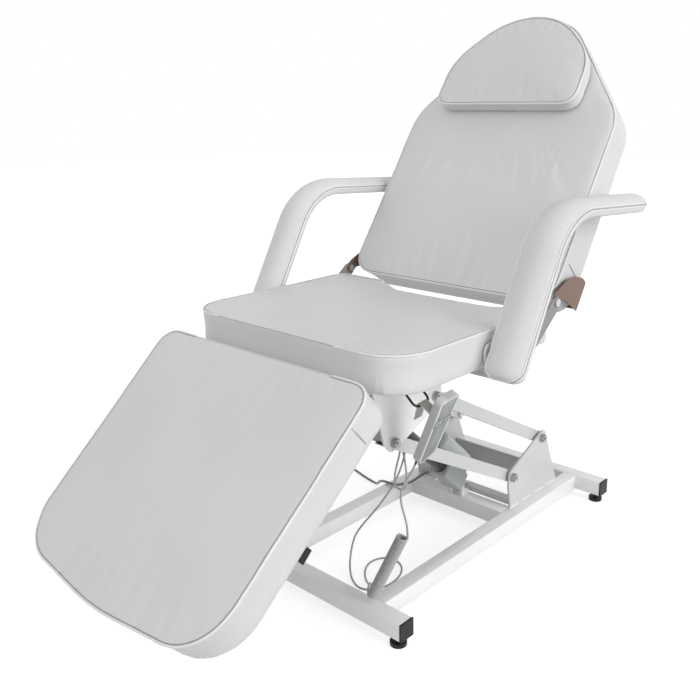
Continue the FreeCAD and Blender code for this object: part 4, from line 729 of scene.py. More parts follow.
@dataclass
class Studio:
    """Floor, sky and lights."""

    floor_half: float = 14.0
    floor_colour: float = 0.60
    floor_roughness: float = 0.9
    floor_gloss: float = 0.1
    floor_glow: float = 0.68
    ambient: float = 0.60
    key: float = 1.65
    fill: float = 0.50
    key_turn: float = 4.0
    key_height: float = 15.0
    fill_turn: float = -78.0
    fill_height: float = 32.0
    softness: float = 40.0
    lamp_away: float = 4.0

    def build(self) -> None:
        """Makes the stage."""
        half = self.floor_half
        bm = bmesh.new()
        corners = []
        for x, y in ((-half, -half), (half, -half), (half, half), (-half, half)):
            corners.append(bm.verts.new((x, y, 0.0)))
        bm.faces.new(corners)
        floor = solid("floor", bm, smooth=False)
        material = bpy.data.materials.new("floor_white")
        material.use_nodes = True
        nodes = material.node_tree.nodes
        links = material.node_tree.links
        shader = nodes["Principled BSDF"]
        shader.inputs["Base Color"].default_value = (self.floor_colour,) * 3 + (1.0,)
        shader.inputs["Roughness"].default_value = self.floor_roughness
        shader.inputs["Specular IOR Level"].default_value = self.floor_gloss
        shader.inputs["Emission Color"].default_value = WHITE
        glow = nodes.new("ShaderNodeMath")
        glow.operation = "MULTIPLY"
        glow.inputs[1].default_value = self.floor_glow
        links.new(self.seen(nodes, links), glow.inputs[0])
        links.new(glow.outputs[0], shader.inputs["Emission Strength"])
        floor.data.materials.append(material)
        self.sky()
        self.sun("key", self.key, self.key_turn, self.key_height)
        self.sun("fill", self.fill, self.fill_turn, self.fill_height)
        bpy.context.scene.view_settings.view_transform = "Standard"

    def seen(self, nodes: bpy.types.Nodes, links: bpy.types.NodeLinks) -> bpy.types.NodeSocket:
        """Tells rays that show a surface from those that only light by it.

        Args:
            nodes: nodes of the material or world.
            links: its links.

        Returns:
            A socket that is 1 for camera, glossy and transmission rays.
        """
        path = nodes.new("ShaderNodeLightPath")
        first = nodes.new("ShaderNodeMath")
        first.operation = "ADD"
        second = nodes.new("ShaderNodeMath")
        second.operation = "ADD"
        second.use_clamp = True
        links.new(path.outputs["Is Camera Ray"], first.inputs[0])
        links.new(path.outputs["Is Glossy Ray"], first.inputs[1])
        links.new(first.outputs[0], second.inputs[0])
        links.new(path.outputs["Is Transmission Ray"], second.inputs[1])
        return second.outputs[0]

    def sky(self) -> None:
        """A white surround whose light is plain and even."""
        world = bpy.data.worlds.new("surround")
        bpy.context.scene.world = world
        world.use_nodes = True
        nodes = world.node_tree.nodes
        links = world.node_tree.links
        nodes.clear()
        out = nodes.new("ShaderNodeOutputWorld")
        seen = nodes.new("ShaderNodeBackground")
        lit = nodes.new("ShaderNodeBackground")
        for node, strength in ((seen, 1.0), (lit, self.ambient)):
            node.inputs["Color"].default_value = WHITE
            node.inputs["Strength"].default_value = strength
        mix = nodes.new("ShaderNodeMixShader")
        links.new(self.seen(nodes, links), mix.inputs[0])
        links.new(lit.outputs[0], mix.inputs[1])
        links.new(seen.outputs[0], mix.inputs[2])
        links.new(mix.outputs[0], out.inputs["Surface"])

    def sun(self, name: str, strength: float, turn: float, height: float) -> None:
        """One soft and distant light.

        Args:
            name: name of the light.
            strength: its strength.
            turn: degrees round the chair from its right side.
            height: degrees above the floor.
        """
        data = bpy.data.lights.new(name, "SUN")
        data.energy = strength
        data.angle = math.radians(self.softness)
        lamp = link(bpy.data.objects.new(name, data))
        side = math.radians(turn)
        rise = math.radians(height)
        back = Vector((math.cos(side) * math.cos(rise), math.sin(side) * math.cos(rise), math.sin(rise)))
        away = Matrix.Translation((0, 0, self.lamp_away))
        lamp.matrix_world = back.to_track_quat("Z", "Y").to_matrix().to_4x4() @ away


# Cords.


@dataclass
class HandsetCord:
    """The handset's cord: a drop, a tight curl and a long tail to the control box."""

    radius: float = 2.3
    relief_end: Tuple[float, float, float] = (0.0, 0.0, 0.0)
    leave: Tuple[float, float, float] = (0.0, 0.0, -1.0)
    curl_top: Tuple[float, float, float] = (229.0, SEAT_Y + 104.5, SEAT_Z - 338.0)
    curl_low: Tuple[float, float, float] = (162.5, SEAT_Y + 83.0, SEAT_Z - 491.0)
    curl_radius: float = 10.7
    curl_pitch: float = 5.25
    curl_turns: float = 31.5
    curl_step: int = 16
    curl_lie: Tuple[float, float, float] = (0.7535, 0.6575, 0.0)
    fall: Tuple[float, float, float] = (0.19, 0.16, -0.97)
    stub: float = 24.0
    hang: float = 30.0
    turn_in: Tuple[Tuple[float, float], ...] = ((0.0, 12.0), (0.33, 13.0), (0.67, 15.0), (1.0, 30.0))
    turn_out: float = 16.0
    gland_rise: float = 17.0
    gland: Tuple[float, float, float] = (56.0, 12.23225353, 461.05178050)
    length: float = 3.85
    low_z: float = 2.5

    def curl(self) -> Tuple[List[Vector], Vector, Vector]:
        """Points of the curl with a short straight end at either side.

        Returns:
            The points, the way in and the way out.
        """
        top = Vector(self.curl_top)
        axis = (Vector(self.curl_low) - top).normalized()
        into = axis.cross(Vector(self.curl_lie)).normalized()
        side = into.cross(axis)
        climb = self.curl_pitch / (2 * math.pi * self.curl_radius)
        points = []
        ways = []
        count = int(round(self.curl_turns * self.curl_step))
        for i in range(count + 1):
            turn = 2 * math.pi * i / self.curl_step
            out = side * math.cos(turn) + into * math.sin(turn)
            go = into * math.cos(turn) - side * math.sin(turn)
            points.append(top + out * self.curl_radius + axis * (self.curl_pitch * turn / (2 * math.pi)))
            ways.append((go + axis * climb).normalized())
        lead = 2 * self.radius
        first = points[0] - ways[0] * lead
        last = points[-1] + ways[-1] * lead
        return [first] + points + [last], ways[0], ways[-1]

    def route(self) -> List[Vector]:
        """All control points from the handset to the control box, in millimetres.

        Returns:
            The points in order.
        """
        curl, way_in, way_out = self.curl()
        start = Vector(self.relief_end)
        leave = Vector(self.leave)
        fall = Vector(self.fall)
        climb = [curl[0]]
        for share, run in self.turn_in:
            way = (way_in * (1 - share) + fall * share).normalized()
            climb.append(climb[-1] - way * run)
        drop = [start, start + leave * self.stub, climb[-1] - fall * self.hang]
        low = self.low_z
        end = Vector(self.gland)
        last = curl[-1]
        tail = [last + way_out * self.turn_out] + [Vector(p) for p in (
            (126, -165, 76), (108, -143, 54), (86, -122, 30), (60, -100, 11),
            (30, -80, low), (3, -55, low), (-14, -22, low), (-9, 12, low), (18, 30, low), (50, 24, low),
            (74, 0, low), (86, -34, low), (86, -72, low), (70, -104, low), (44, -116, low),
            (14, -106, low + 1), (-16, -84, low + 3), (-34, -66, 18), (-40, -54, 44), (-32, -50, 80),
            (-8, -50, 116), (24, -48, 156), (52, -42, 196), (73, -28, 236), (83, -12, 276), (85, 1, 314),
            (82, 9, 350), (80, 11, 384), (81, 6, 410), (85, -10, 424), (90, -26, 418), (96, -33, 394),
            (101, -33.5, 358), (98, -33, 324), (88, -32, 294), (81, -32, 266), (80.5, -32, 244),
            (89.5, -31, 234.5), (102.5, -29, 234.5), (111, -27, 244), (109, -23, 270), (101, -19, 302),
            (87, -15, 334), (72, -10, 366), (62, -3, 396), (57.5, end.y - 6, end.z - 36),
        )] + [end - Vector((0, 0, self.gland_rise)), end]
        return drop + climb[-2:0:-1] + curl + tail

    def build(self) -> bpy.types.Object:
        """Returns:
            The cord.
        """
        points = [p * MM for p in self.route()]
        cord = nurbs("handset_cord", points, self.radius * MM)
        cord.data.resolution_u = 3
        mount(
            cord, "carriage", "cord_grey", ("handset_cord_drop", "handset_cord_curl", "handset_cord_tail")
        )
        return cord


@dataclass
class MainsLead:
    """The mains lead from the actuator to a tied coil and plug behind the chair."""

    radius: float = 3.5
    root: Tuple[float, float, float] = (-54.0, 296.3796, 113.4450)
    bar_z: float = 65.9
    floor_z: float = 3.7
    coil_mid: Tuple[float, float] = (-455.0, 150.0)
    coil_radius: float = 50.0
    coil_step: float = 9.0
    half_turn_points: int = 7
    half_turns: int = 10
    half_turns_in: int = 4
    plug_z: float = 12.3
    still: Tuple[float, float, float] = (-81.0, -50.0, -42.0)
    tie_place: Tuple[float, float] = (41.0, 4.5)
    tie_half: Tuple[float, float] = (17.5, 8.9)
    tie_low: float = 0.9
    tie_radius: float = 0.8
    tie_points: int = 40
    length: float = 2.04

    def coil(self) -> List[Vector]:
        """Points of the coil: two turns in on the floor, then out again on top.

        Returns:
            The points in order, in millimetres.
        """
        points = []
        end_in = self.half_turns_in
        start_out = end_in + 1
        inner = self.coil_radius - self.coil_step * end_in / 2
        for i in range(self.half_turn_points * self.half_turns + 1):
            share = i / self.half_turn_points
            turn = math.pi + share * math.pi
            if share <= end_in:
                reach = self.coil_radius - self.coil_step * share / 2
                lift = 0.0
            elif share <= start_out:
                reach = inner
                lift = self.coil_step * (share - end_in)
            else:
                reach = inner + self.coil_step * (share - start_out) / 2
                lift = self.coil_step
            points.append(Vector((
                self.coil_mid[0] + math.cos(turn) * reach, self.coil_mid[1] + math.sin(turn) * reach,
                self.floor_z + lift,
            )))
        return points

    def route(self) -> List[Vector]:
        """All control points from the strain relief to the plug, in millimetres.

        Returns:
            The points in order.
        """
        root = Vector(self.root)
        low = self.floor_z
        rail = self.bar_z
        start_y = self.coil_mid[1]
        lead = [root] + [root + Vector(p) for p in (
            (-16, 0, 0), (-37, -6, -10), (-53, -22, -25), (-65, -39, -37),
        )]
        run = [Vector(p) for p in (
            (root.x - 97, root.y - 61, rail + 1.2), (-177, root.y - 65, rail + 2.5),
            (-205, root.y - 57, rail - 4), (-231, root.y - 40, rail - 20), (-255, root.y - 19, 26),
            (-278, root.y - 1, 9), (-304, root.y + 9, low), (-336, root.y + 15, low),
            (-369, root.y + 24, low), (-402, root.y + 34, low), (-440, root.y + 32, low),
            (-474, root.y + 10, low), (-496, root.y - 26, low), (-504, root.y - 66, low),
            (self.coil_mid[0] - self.coil_radius, start_y + 42, low),
        )]
        coil = self.coil()
        end = coil[-1]
        plug = Vector((end.x + 4, end.y - 96, self.plug_z))
        out = [end + Vector((0, -30, 0)), Vector((plug.x - 1, end.y - 64, plug.z)), plug]
        return lead + [(lead[-1] + run[0]) / 2] + run + coil + out

    def build(self) -> bpy.types.Object:
        """Returns:
            The lead.
        """
        line = nurbs("mains_line", [p * MM for p in self.route()])
        mesh = bpy.data.meshes.new_from_object(line)
        points = [v.co.copy() for v in mesh.vertices]
        bpy.data.meshes.remove(mesh)
        bpy.data.objects.remove(line)
        lead = tube("mains_cord", points, self.radius * MM, sides=12)
        dress(lead, FINISHES["cord_black"])
        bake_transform(lead)
        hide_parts("mains_lead_root", "mains_lead", "mains_coil")
        self.tie()
        LOG.info("piece %s bends from the actuator to the base", lead.name)
        return lead

    def tie(self) -> bpy.types.Object:
        """A strap round the coil's turns.

        Returns:
            The tie.
        """
        shift, rise = self.tie_place
        centre = Vector((self.coil_mid[0] + shift, self.coil_mid[1], self.floor_z + rise)) * MM
        wide = self.tie_half[0] * MM
        tall = self.tie_half[1] * MM
        points = []
        for k in range(self.tie_points):
            turn = 2 * math.pi * k / self.tie_points
            bulge = 1.0 / (abs(math.cos(turn)) ** 4 + abs(math.sin(turn)) ** 4) ** 0.25
            spot = Vector((math.cos(turn) * wide, 0.0, math.sin(turn) * tall)) * bulge
            points.append(centre + Vector((spot.x, 0.0, max(spot.z, self.tie_low * MM - centre.z))))
        band = tube("coil_tie", points, self.tie_radius * MM, closed=True, sides=8)
        return mount(band, "base", "cord_black", finish=TIE)


# Upholstery.


def slow_wave(x: float, y: float) -> float:
    """Two slow waves that cross a pad's top.

    Args:
        x: place across the pad in metres.
        y: place along the pad in metres.

    Returns:
        Their height, from about -1.4 to 1.4.
    """
    long = 0.23
    slant = (0.86, 0.5)
    phase = (x * slant[0] + y * slant[1]) / long
    first = math.sin(2 * math.pi * phase + 0.8)
    second = math.sin(5.1 * phase + y * 17)
    return first + 0.4 * second


@dataclass
class Cushion:
    """A pad made soft by a short pressure simulation, with piping along its edge."""

    name: str
    node: str
    body: str
    place: Matrix
    points: List[Point]
    radii: List[float]
    thick: float
    crown: float
    voxel: float = 6.5
    edge_gap: Optional[Tuple[int, float]] = None
    bare: Optional[Callable[[float, float], bool]] = None
    edge_turn: Matrix = field(default_factory=Matrix)
    fill: float = 0.8
    pipe_radius: float = 2.4
    pipe_stand: float = 0.45
    # Radius of the dark line of painted shadow beside the piping.
    shade_line_radius: float = 1.1
    seam_radius: float = 0.9
    corner_least: float = 12.0
    smooth_passes: int = 2
    board: Optional[str] = None
    board_gap: float = 1.5
    lip_zone: float = 8.0
    lip_reach: float = 22.0
    lip_band: float = 6.0
    lip_drop: float = 5.0
    ripple: float = 0.0
    ripple_start: float = 0.7
    sag: Optional[Tuple[float, float, float]] = None
    sag_mid: float = 40.0
    sag_band: float = 30.0
    sag_low: float = 20.0
    # Line along a bare edge: painted crease shade by default, a bright painted highlight on the leg rest.
    bare_edge_painted_light: Finish = CREASE_SHADE

    def edge_points(self, step: float = 4.0) -> List[Point]:
        """Outline at the piping, in local millimetres.

        Args:
            step: distance from point to point.

        Returns:
            Points round the pad.
        """
        gaps = [0.0] * len(self.points)
        if self.edge_gap is not None:
            gaps[self.edge_gap[0]] = self.edge_gap[1]
        return rounded(inset(self.points, gaps), [max(r, self.corner_least) for r in self.radii], step)

    def soften(self, obj: bpy.types.Object) -> None:
        """Blows the top up a little under pressure while sides and underside stay.

        Args:
            obj: the remeshed pad in its local frame.
        """
        top = self.thick * MM
        pin_top = top + 1.5 * MM
        pin_band = 6 * MM
        most = 12 * MM
        last = 20
        rest = [v.co.copy() for v in obj.data.vertices]
        pins = obj.vertex_groups.new(name="pins")
        for vert in obj.data.vertices:
            share = (pin_top - vert.co.z) / pin_band
            pins.add([vert.index], min(1.0, max(0.0, share)), "REPLACE")
        cloth = obj.modifiers.new("cloth", "CLOTH")
        cloth.settings.quality = 3
        cloth.settings.mass = 0.3
        cloth.settings.tension_stiffness = 12.0
        cloth.settings.compression_stiffness = 12.0
        cloth.settings.shear_stiffness = 6.0
        cloth.settings.bending_stiffness = 2.0
        cloth.settings.use_pressure = True
        cloth.settings.uniform_pressure_force = 4.0
        cloth.settings.shrink_min = -0.012
        cloth.settings.vertex_group_mass = "pins"
        cloth.settings.effector_weights.gravity = 0.0
        cloth.collision_settings.use_collision = False
        cloth.point_cache.frame_start = 1
        cloth.point_cache.frame_end = last
        scene = bpy.context.scene
        for number in range(1, last + 1):
            scene.frame_set(number)
        moved = evaluated(obj)
        obj.modifiers.clear()
        peak = max(v.co.z for v in moved.vertices) - top
        share = self.crown * MM / max(peak, 1e-4)
        for vert, before in zip(moved.vertices, rest):
            if vert.co.z > top:
                vert.co.z = top + (vert.co.z - top) * share
            step = vert.co - before
            if step.length > most:
                vert.co = before + step * (most / step.length)
        old = obj.data
        obj.data = moved
        bpy.data.meshes.remove(old)
        scene.frame_set(1)

    def settle(self, obj: bpy.types.Object) -> None:
        """Lifts the underside off its board and lays slow waves over the top.

        Args:
            obj: the softened pad in its local frame.
        """
        top = self.thick * MM
        long = max(p[1] for p in self.points)
        edge = rounded(self.points, self.radii, 5.0)
        tree = KDTree(len(edge))
        for i, (u, v) in enumerate(edge):
            tree.insert((u * MM, v * MM, 0.0), i)
        tree.balance()
        for vert in obj.data.vertices:
            if self.board is not None and vert.co.z < self.lip_zone * MM:
                away = tree.find((vert.co.x, vert.co.y, 0.0))[2]
                lip = min(1.0, max(0.0, (self.lip_reach * MM - away) / (self.lip_band * MM)))
                vert.co.z = max(vert.co.z, self.board_gap * MM) - lip * self.lip_drop * MM
            if self.sag is not None:
                half, start, depth = self.sag
                low = self.sag_low * MM
                back = ramp((vert.co.y / MM - start) / (long - start))
                beside = abs(vert.co.x / MM - self.sag_mid)
                side = ramp((half + self.sag_band - beside) / (2 * self.sag_band))
                rise = min(1.0, max(0.0, (vert.co.z - low) / (top - low)))
                vert.co.z -= depth * MM * back * side * rise
            if self.ripple > 0.0 and vert.co.z > top:
                share = min(1.0, (vert.co.z - top) / (self.ripple_start * self.crown * MM))
                vert.co.z += self.ripple * MM * share * slow_wave(vert.co.x, vert.co.y)

    def build(self) -> bpy.types.Object:
        """Makes the pad and its piping.

        Returns:
            The pad.
        """
        nodes = [self.node]
        if self.board is not None:
            nodes.append(self.board)
        pad = remeshed(self.name, nodes, self.voxel, self.smooth_passes, self.place)
        self.soften(pad)
        self.settle(pad)
        round_off(pad)
        self.piping(pad)
        pad.data.transform(self.place)
        mount(pad, self.body, "white_vinyl", (self.node,))
        return pad

    def piping(self, pad: bpy.types.Object) -> None:
        """Piping along the pad's edge, laid on the softened surface.

        Args:
            pad: the pad in its local frame.
        """
        tree = surface(pad)
        flat = self.edge_points()
        count = len(flat)
        line = []
        inner = []
        for i, (u, v) in enumerate(flat):
            spot = self.edge_turn @ Vector((u * MM, v * MM, self.thick * MM))
            found = tree.find_nearest(spot)
            line.append(found[0] + found[1] * (self.pipe_stand * self.pipe_radius * MM))
            ahead = Vector(flat[(i + 1) % count]) - Vector(flat[i - 1])
            inward = Vector((-ahead.y, ahead.x, 0.0)).normalized()
            beside = inward * (self.pipe_radius + self.shade_line_radius) * MM
            found = tree.find_nearest(line[-1] + beside)
            inner.append(found[0])
        even = even_out(line)
        shadow_points = even_out(inner)
        if self.bare is None:
            self.lay(even, shadow_points, 0, True)
            return
        keep = [not self.bare(u, v) for u, v in flat]
        start = next(i for i in range(count) if keep[i] and not keep[i - 1])
        run: List[Vector] = []
        side: List[Vector] = []
        seam: List[Vector] = []
        number = 0
        for i in range(count + 1):
            at = (start + i) % count
            if i < count and keep[at]:
                if len(seam) > 2:
                    self.crease(seam, number)
                seam = []
                run.append(even[at])
                side.append(shadow_points[at])
                continue
            if len(run) > 2:
                self.lay(run, side, number, False)
                number += 1
            run = []
            side = []
            seam.append(even[at])
        if len(seam) > 2:
            self.crease(seam, number)

    def lay(self, line: Sequence[Vector], shadow_points: Sequence[Vector], number: int, closed: bool) -> None:
        """One run of piping, painted brighter than the pad as a highlight, with a thin dark line of painted
        shadow beside it.

        Args:
            line: its points in the pad's frame.
            shadow_points: points of the line of painted shadow.
            number: number of the run.
            closed: whether it returns to its start.
        """
        pipe = tube("%s_piping_%d" % (self.name, number), list(line), self.pipe_radius * MM, closed)
        pipe.data.transform(self.place)
        mount(pipe, self.body, "white_vinyl", finish=PIPE_HIGHLIGHT)
        stitch = tube("%s_stitch_%d" % (self.name, number), list(shadow_points), self.shade_line_radius * MM, closed, 6)
        stitch.data.transform(self.place)
        mount(stitch, self.body, "white_vinyl", finish=PIPING_SHADOW)

    def crease(self, line: Sequence[Vector], number: int) -> None:
        """A plain stitched seam where the edge has no piping, drawn as a thin line whose colour is painted
        light: grey painted crease shade by default, a bright painted highlight on the leg rest's top edge.

        Args:
            line: its points in the pad's frame.
            number: number of the run.
        """
        if self.sag is not None and line[0].y > self.sag[1] * MM:
            return
        seam = tube("%s_seam_%d" % (self.name, number), list(line), self.seam_radius * MM, False, 6)
        seam.data.transform(self.place)
        mount(seam, self.body, "white_vinyl", finish=self.bare_edge_painted_light)


def seat_bare(u: float, v: float) -> bool:
    """Where the seat's edge has no piping.

    Args:
        u: place across the seat.
        v: place behind its front edge.

    Returns:
        Whether the edge is bare.
    """
    front_end, front_left, front_right = 40, -200, 150
    rear_start, rear_left, rear_right = 400, -160, 235
    front = v < front_end and front_left < u < front_right
    rear = v > rear_start and rear_left < u < rear_right
    return front or rear


def leg_bare(u: float, v: float) -> bool:
    """Where the leg rest's edge has no piping.

    Args:
        u: place across the leg rest.
        v: place down from its top edge.

    Returns:
        Whether the edge is bare.
    """
    top_end, half = 30, 200
    return v < top_end and abs(u) < half


@dataclass
class Armrest:
    """A bent armrest pad with double piping along its outer edges."""

    side: Side
    inner: float = 321.0
    wide: float = 90.0
    band: float = 20.0
    slope: float = 61.3
    fall: float = 3.0
    rise: float = 294.0
    reach: float = 345.0
    bend: float = 123.0
    foot: float = 27.0
    steel: float = 18.0
    voxel: float = 4.0
    smooth_passes: int = 8
    fill: float = 0.9
    step: float = 8.0
    bend_pieces: int = 20
    pipe_cut: float = 26.0
    pipe_stand: float = 0.5
    foot_pieces: int = 16
    foot_drop: float = 16.0
    # The piping lines carry a painted highlight; the thin grey line between them is painted crease shade.
    lines: Tuple[Tuple[str, float, float, Finish], ...] = (
        ("front", 2.0, 1.9, PIPE_HIGHLIGHT),
        ("stitch", -1.6, 1.0, CREASE_SHADE),
        ("rear", -5.2, 1.9, PIPE_HIGHLIGHT),
    )

    def spine(self, low: float, cut: float) -> List[Tuple[Vector, Vector]]:
        """Path of the pad's rear face as points with their outward ways.

        Args:
            low: how far below the pin it starts.
            cut: how far before the end it stops.

        Returns:
            Pairs of point and way out of the pad's face, in millimetres.
        """
        lean = math.radians(self.slope)
        drop = math.radians(self.fall)
        way = Vector((0.0, math.cos(lean), math.sin(lean)))
        face = Vector((0.0, -math.sin(lean), math.cos(lean)))
        ahead = Vector((0.0, math.cos(drop), -math.sin(drop)))
        over = Vector((0.0, math.sin(drop), math.cos(drop)))
        foot = Vector((0.0, ARM_PIN[0], ARM_PIN[1])) - face * (self.steel / 2)
        corner = foot + way * self.rise
        turn = lean + drop
        half = math.tan(turn / 2)
        first = corner - way * (self.bend * half)
        centre = first - face * self.bend
        line = []
        start = foot - way * low
        count = max(2, int((first - start).length / self.step))
        for i in range(count):
            line.append((start.lerp(first, i / count), face))
        for i in range(self.bend_pieces + 1):
            angle = turn * i / self.bend_pieces
            out = Vector((0.0, -math.sin(lean - angle), math.cos(lean - angle)))
            line.append((centre + out * self.bend, out))
        last = corner + ahead * (self.bend * half)
        end = corner + ahead * (self.reach - cut)
        count = max(2, int((end - last).length / self.step))
        for i in range(1, count + 1):
            line.append((last.lerp(end, i / count), over))
        return line

    def build(self) -> bpy.types.Object:
        """Makes the pad and its piping.

        Returns:
            The pad.
        """
        word = self.side.name.lower()
        node = "arm_pad_" + word
        body = "arm_" + word
        pad = remeshed("armrest_" + word, [node], self.voxel, self.smooth_passes, Matrix())
        tree = surface(pad)
        round_off(pad)
        mount(pad, body, "white_vinyl", (node,))
        self.piping(tree, word, body)
        return pad

    def piping(self, tree: BVHTree, word: str, body: str) -> None:
        """Two lines of piping round the edge, painted brighter than the pad as a highlight, with a thin grey
        line of painted crease shade between them.

        Args:
            tree: surface of the pad.
            word: name of the side.
            body: body of the armrest.
        """
        middle = self.side.value * (self.inner + self.wide / 2)
        path = self.spine(self.foot, self.pipe_cut)
        start, face = path[0]
        down = (path[0][0] - path[1][0]).normalized()
        for edge, height, radius, finish in self.lines:
            lift = self.band + height
            aims = []
            for spot, out in reversed(path):
                aims.append(spot + out * lift + Vector((middle + self.wide / 2, 0, 0)))
            for k in range(1, self.foot_pieces):
                share = 1 - 2 * k / self.foot_pieces
                drop = down * self.foot_drop * (1 - share ** 4)
                aims.append(start + face * lift + drop + Vector((middle + share * self.wide / 2, 0, 0)))
            for spot, out in path:
                aims.append(spot + out * lift + Vector((middle - self.wide / 2, 0, 0)))
            line = []
            for aim in aims:
                found = tree.find_nearest(aim * MM)
                line.append(found[0] + found[1] * (self.pipe_stand * MM))
            pipe = tube("armrest_%s_%s" % (word, edge), line, radius * MM)
            mount(pipe, body, "white_vinyl", finish=finish)


@dataclass
class Upholstery:
    """All the pads of the chair."""

    leg_gap: float = 11.0
    leg_lift: float = 7.0
    pillow_stand: float = 13.4

    def frames(self) -> Dict[str, Matrix]:
        """Frames of the pads.

        Returns:
            A matrix for each pad's local frame.
        """
        leg = math.radians(LEG_SLOPE)
        way = Vector((0.0, -math.cos(leg), -math.sin(leg)))
        out = Vector((0.0, -math.sin(leg), math.cos(leg)))
        root = Vector((0.0, LEG_PIN[0], LEG_PIN[1])) + way * self.leg_gap + out * self.leg_lift
        back = math.radians(BACK_SLOPE)
        up = Vector((0.0, math.cos(back), math.sin(back)))
        face = Vector((0.0, -math.sin(back), math.cos(back)))
        hinge = Vector((0.0, BACK_PIN[0], BACK_PIN[1]))
        back_face = basis(Vector((1, 0, 0)), up, face, hinge * MM)
        tilt = Matrix.Rotation(math.radians(BACK_TAPER), 4, "X")
        return {
            "seat": Matrix.Translation(Vector((0.0, SEAT_Y, SEAT_Z)) * MM),
            "leg": basis(Vector((-1, 0, 0)), way, out, root * MM),
            "back": back_face @ Matrix.Translation((0, 0, -BACK_THICK * MM)) @ tilt,
            "pillow": back_face @ Matrix.Translation((0, 0, self.pillow_stand * MM)),
        }

    def build(self) -> None:
        """Makes every pad in order."""
        place = self.frames()
        Cushion(
            "seat_pad", "seat_cushion", "carriage", place["seat"],
            [(-312.5, 0), (312.5, 0), (312.5, 513), (-312.5, 513)], [90, 90, 22, 22], 74.0, 13.0,
            edge_gap=(2, 26.0), bare=seat_bare, board="seat_board", ripple=1.4, sag=(180.0, 395.0, 20.0),
        ).build()
        # The leg rest's bare top edge gets a thin bright line of painted highlight.
        Cushion(
            "leg_pad", "leg_cushion", "leg", place["leg"],
            [(-306, 0), (306, 0), (288, 505), (0, 533), (-288, 505)], [42, 42, 110, 700, 110], 70.0, 13.0,
            bare=leg_bare, board="leg_board", ripple=0.5, bare_edge_painted_light=PIPE_HIGHLIGHT,
        ).build()
        lift = Matrix.Translation((0, 0, BACK_THICK * MM))
        turn = lift @ Matrix.Rotation(math.radians(-BACK_TAPER), 4, "X")
        turn = turn @ Matrix.Translation((0, 0, -BACK_THICK * MM))
        Cushion(
            "back_pad", "back_cushion", "back", place["back"],
            [(-303, 0), (303, 0), (303, 479), (0, 872), (-303, 479)], [58, 58, 130, 164, 130],
            BACK_THICK, 13.0, edge_turn=turn, board="back_board", ripple=0.5,
        ).build()
        Cushion(
            "head_pillow", "pillow", "back", place["pillow"],
            [(-206, 475), (206, 475), (205, 610), (0, 813), (-205, 610)], [35, 35, 140, 195, 140],
            38.0, 16.0, voxel=4.5,
        ).build()
        for side in Side:
            Armrest(side).build()


# Frame and fittings.


@dataclass
class BaseFrame:
    """The welded base: tubes with rounded edges."""

    edge: float = 3.0

    def bar(self, node: str, edge: float, slot: str) -> bpy.types.Object:
        """A tube with rounded edges in place of a node's sharp one.

        Args:
            node: the node that it stands for.
            edge: radius of its edges in millimetres.
            slot: its material slot.

        Returns:
            The tube.
        """
        low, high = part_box(node)
        bm = bmesh.new()
        bmesh.ops.create_cube(bm, size=1.0)
        middle = (low + high) / 2
        size = high - low
        for vert in bm.verts:
            vert.co = Vector((vert.co.x * size.x, vert.co.y * size.y, vert.co.z * size.z)) + middle
        bmesh.ops.bevel(
            bm, geom=list(bm.edges), offset=edge * MM, affect="EDGES", segments=3, profile=0.5, material=-1
        )
        bar = solid("soft_" + node, bm)
        return mount(bar, "base", slot, (node,))

    def build(self) -> None:
        """Makes the bars."""
        for node in ("base_rail_left", "base_rail_right", "base_front_bar", "base_rear_bar"):
            self.bar(node, self.edge, "white_paint")


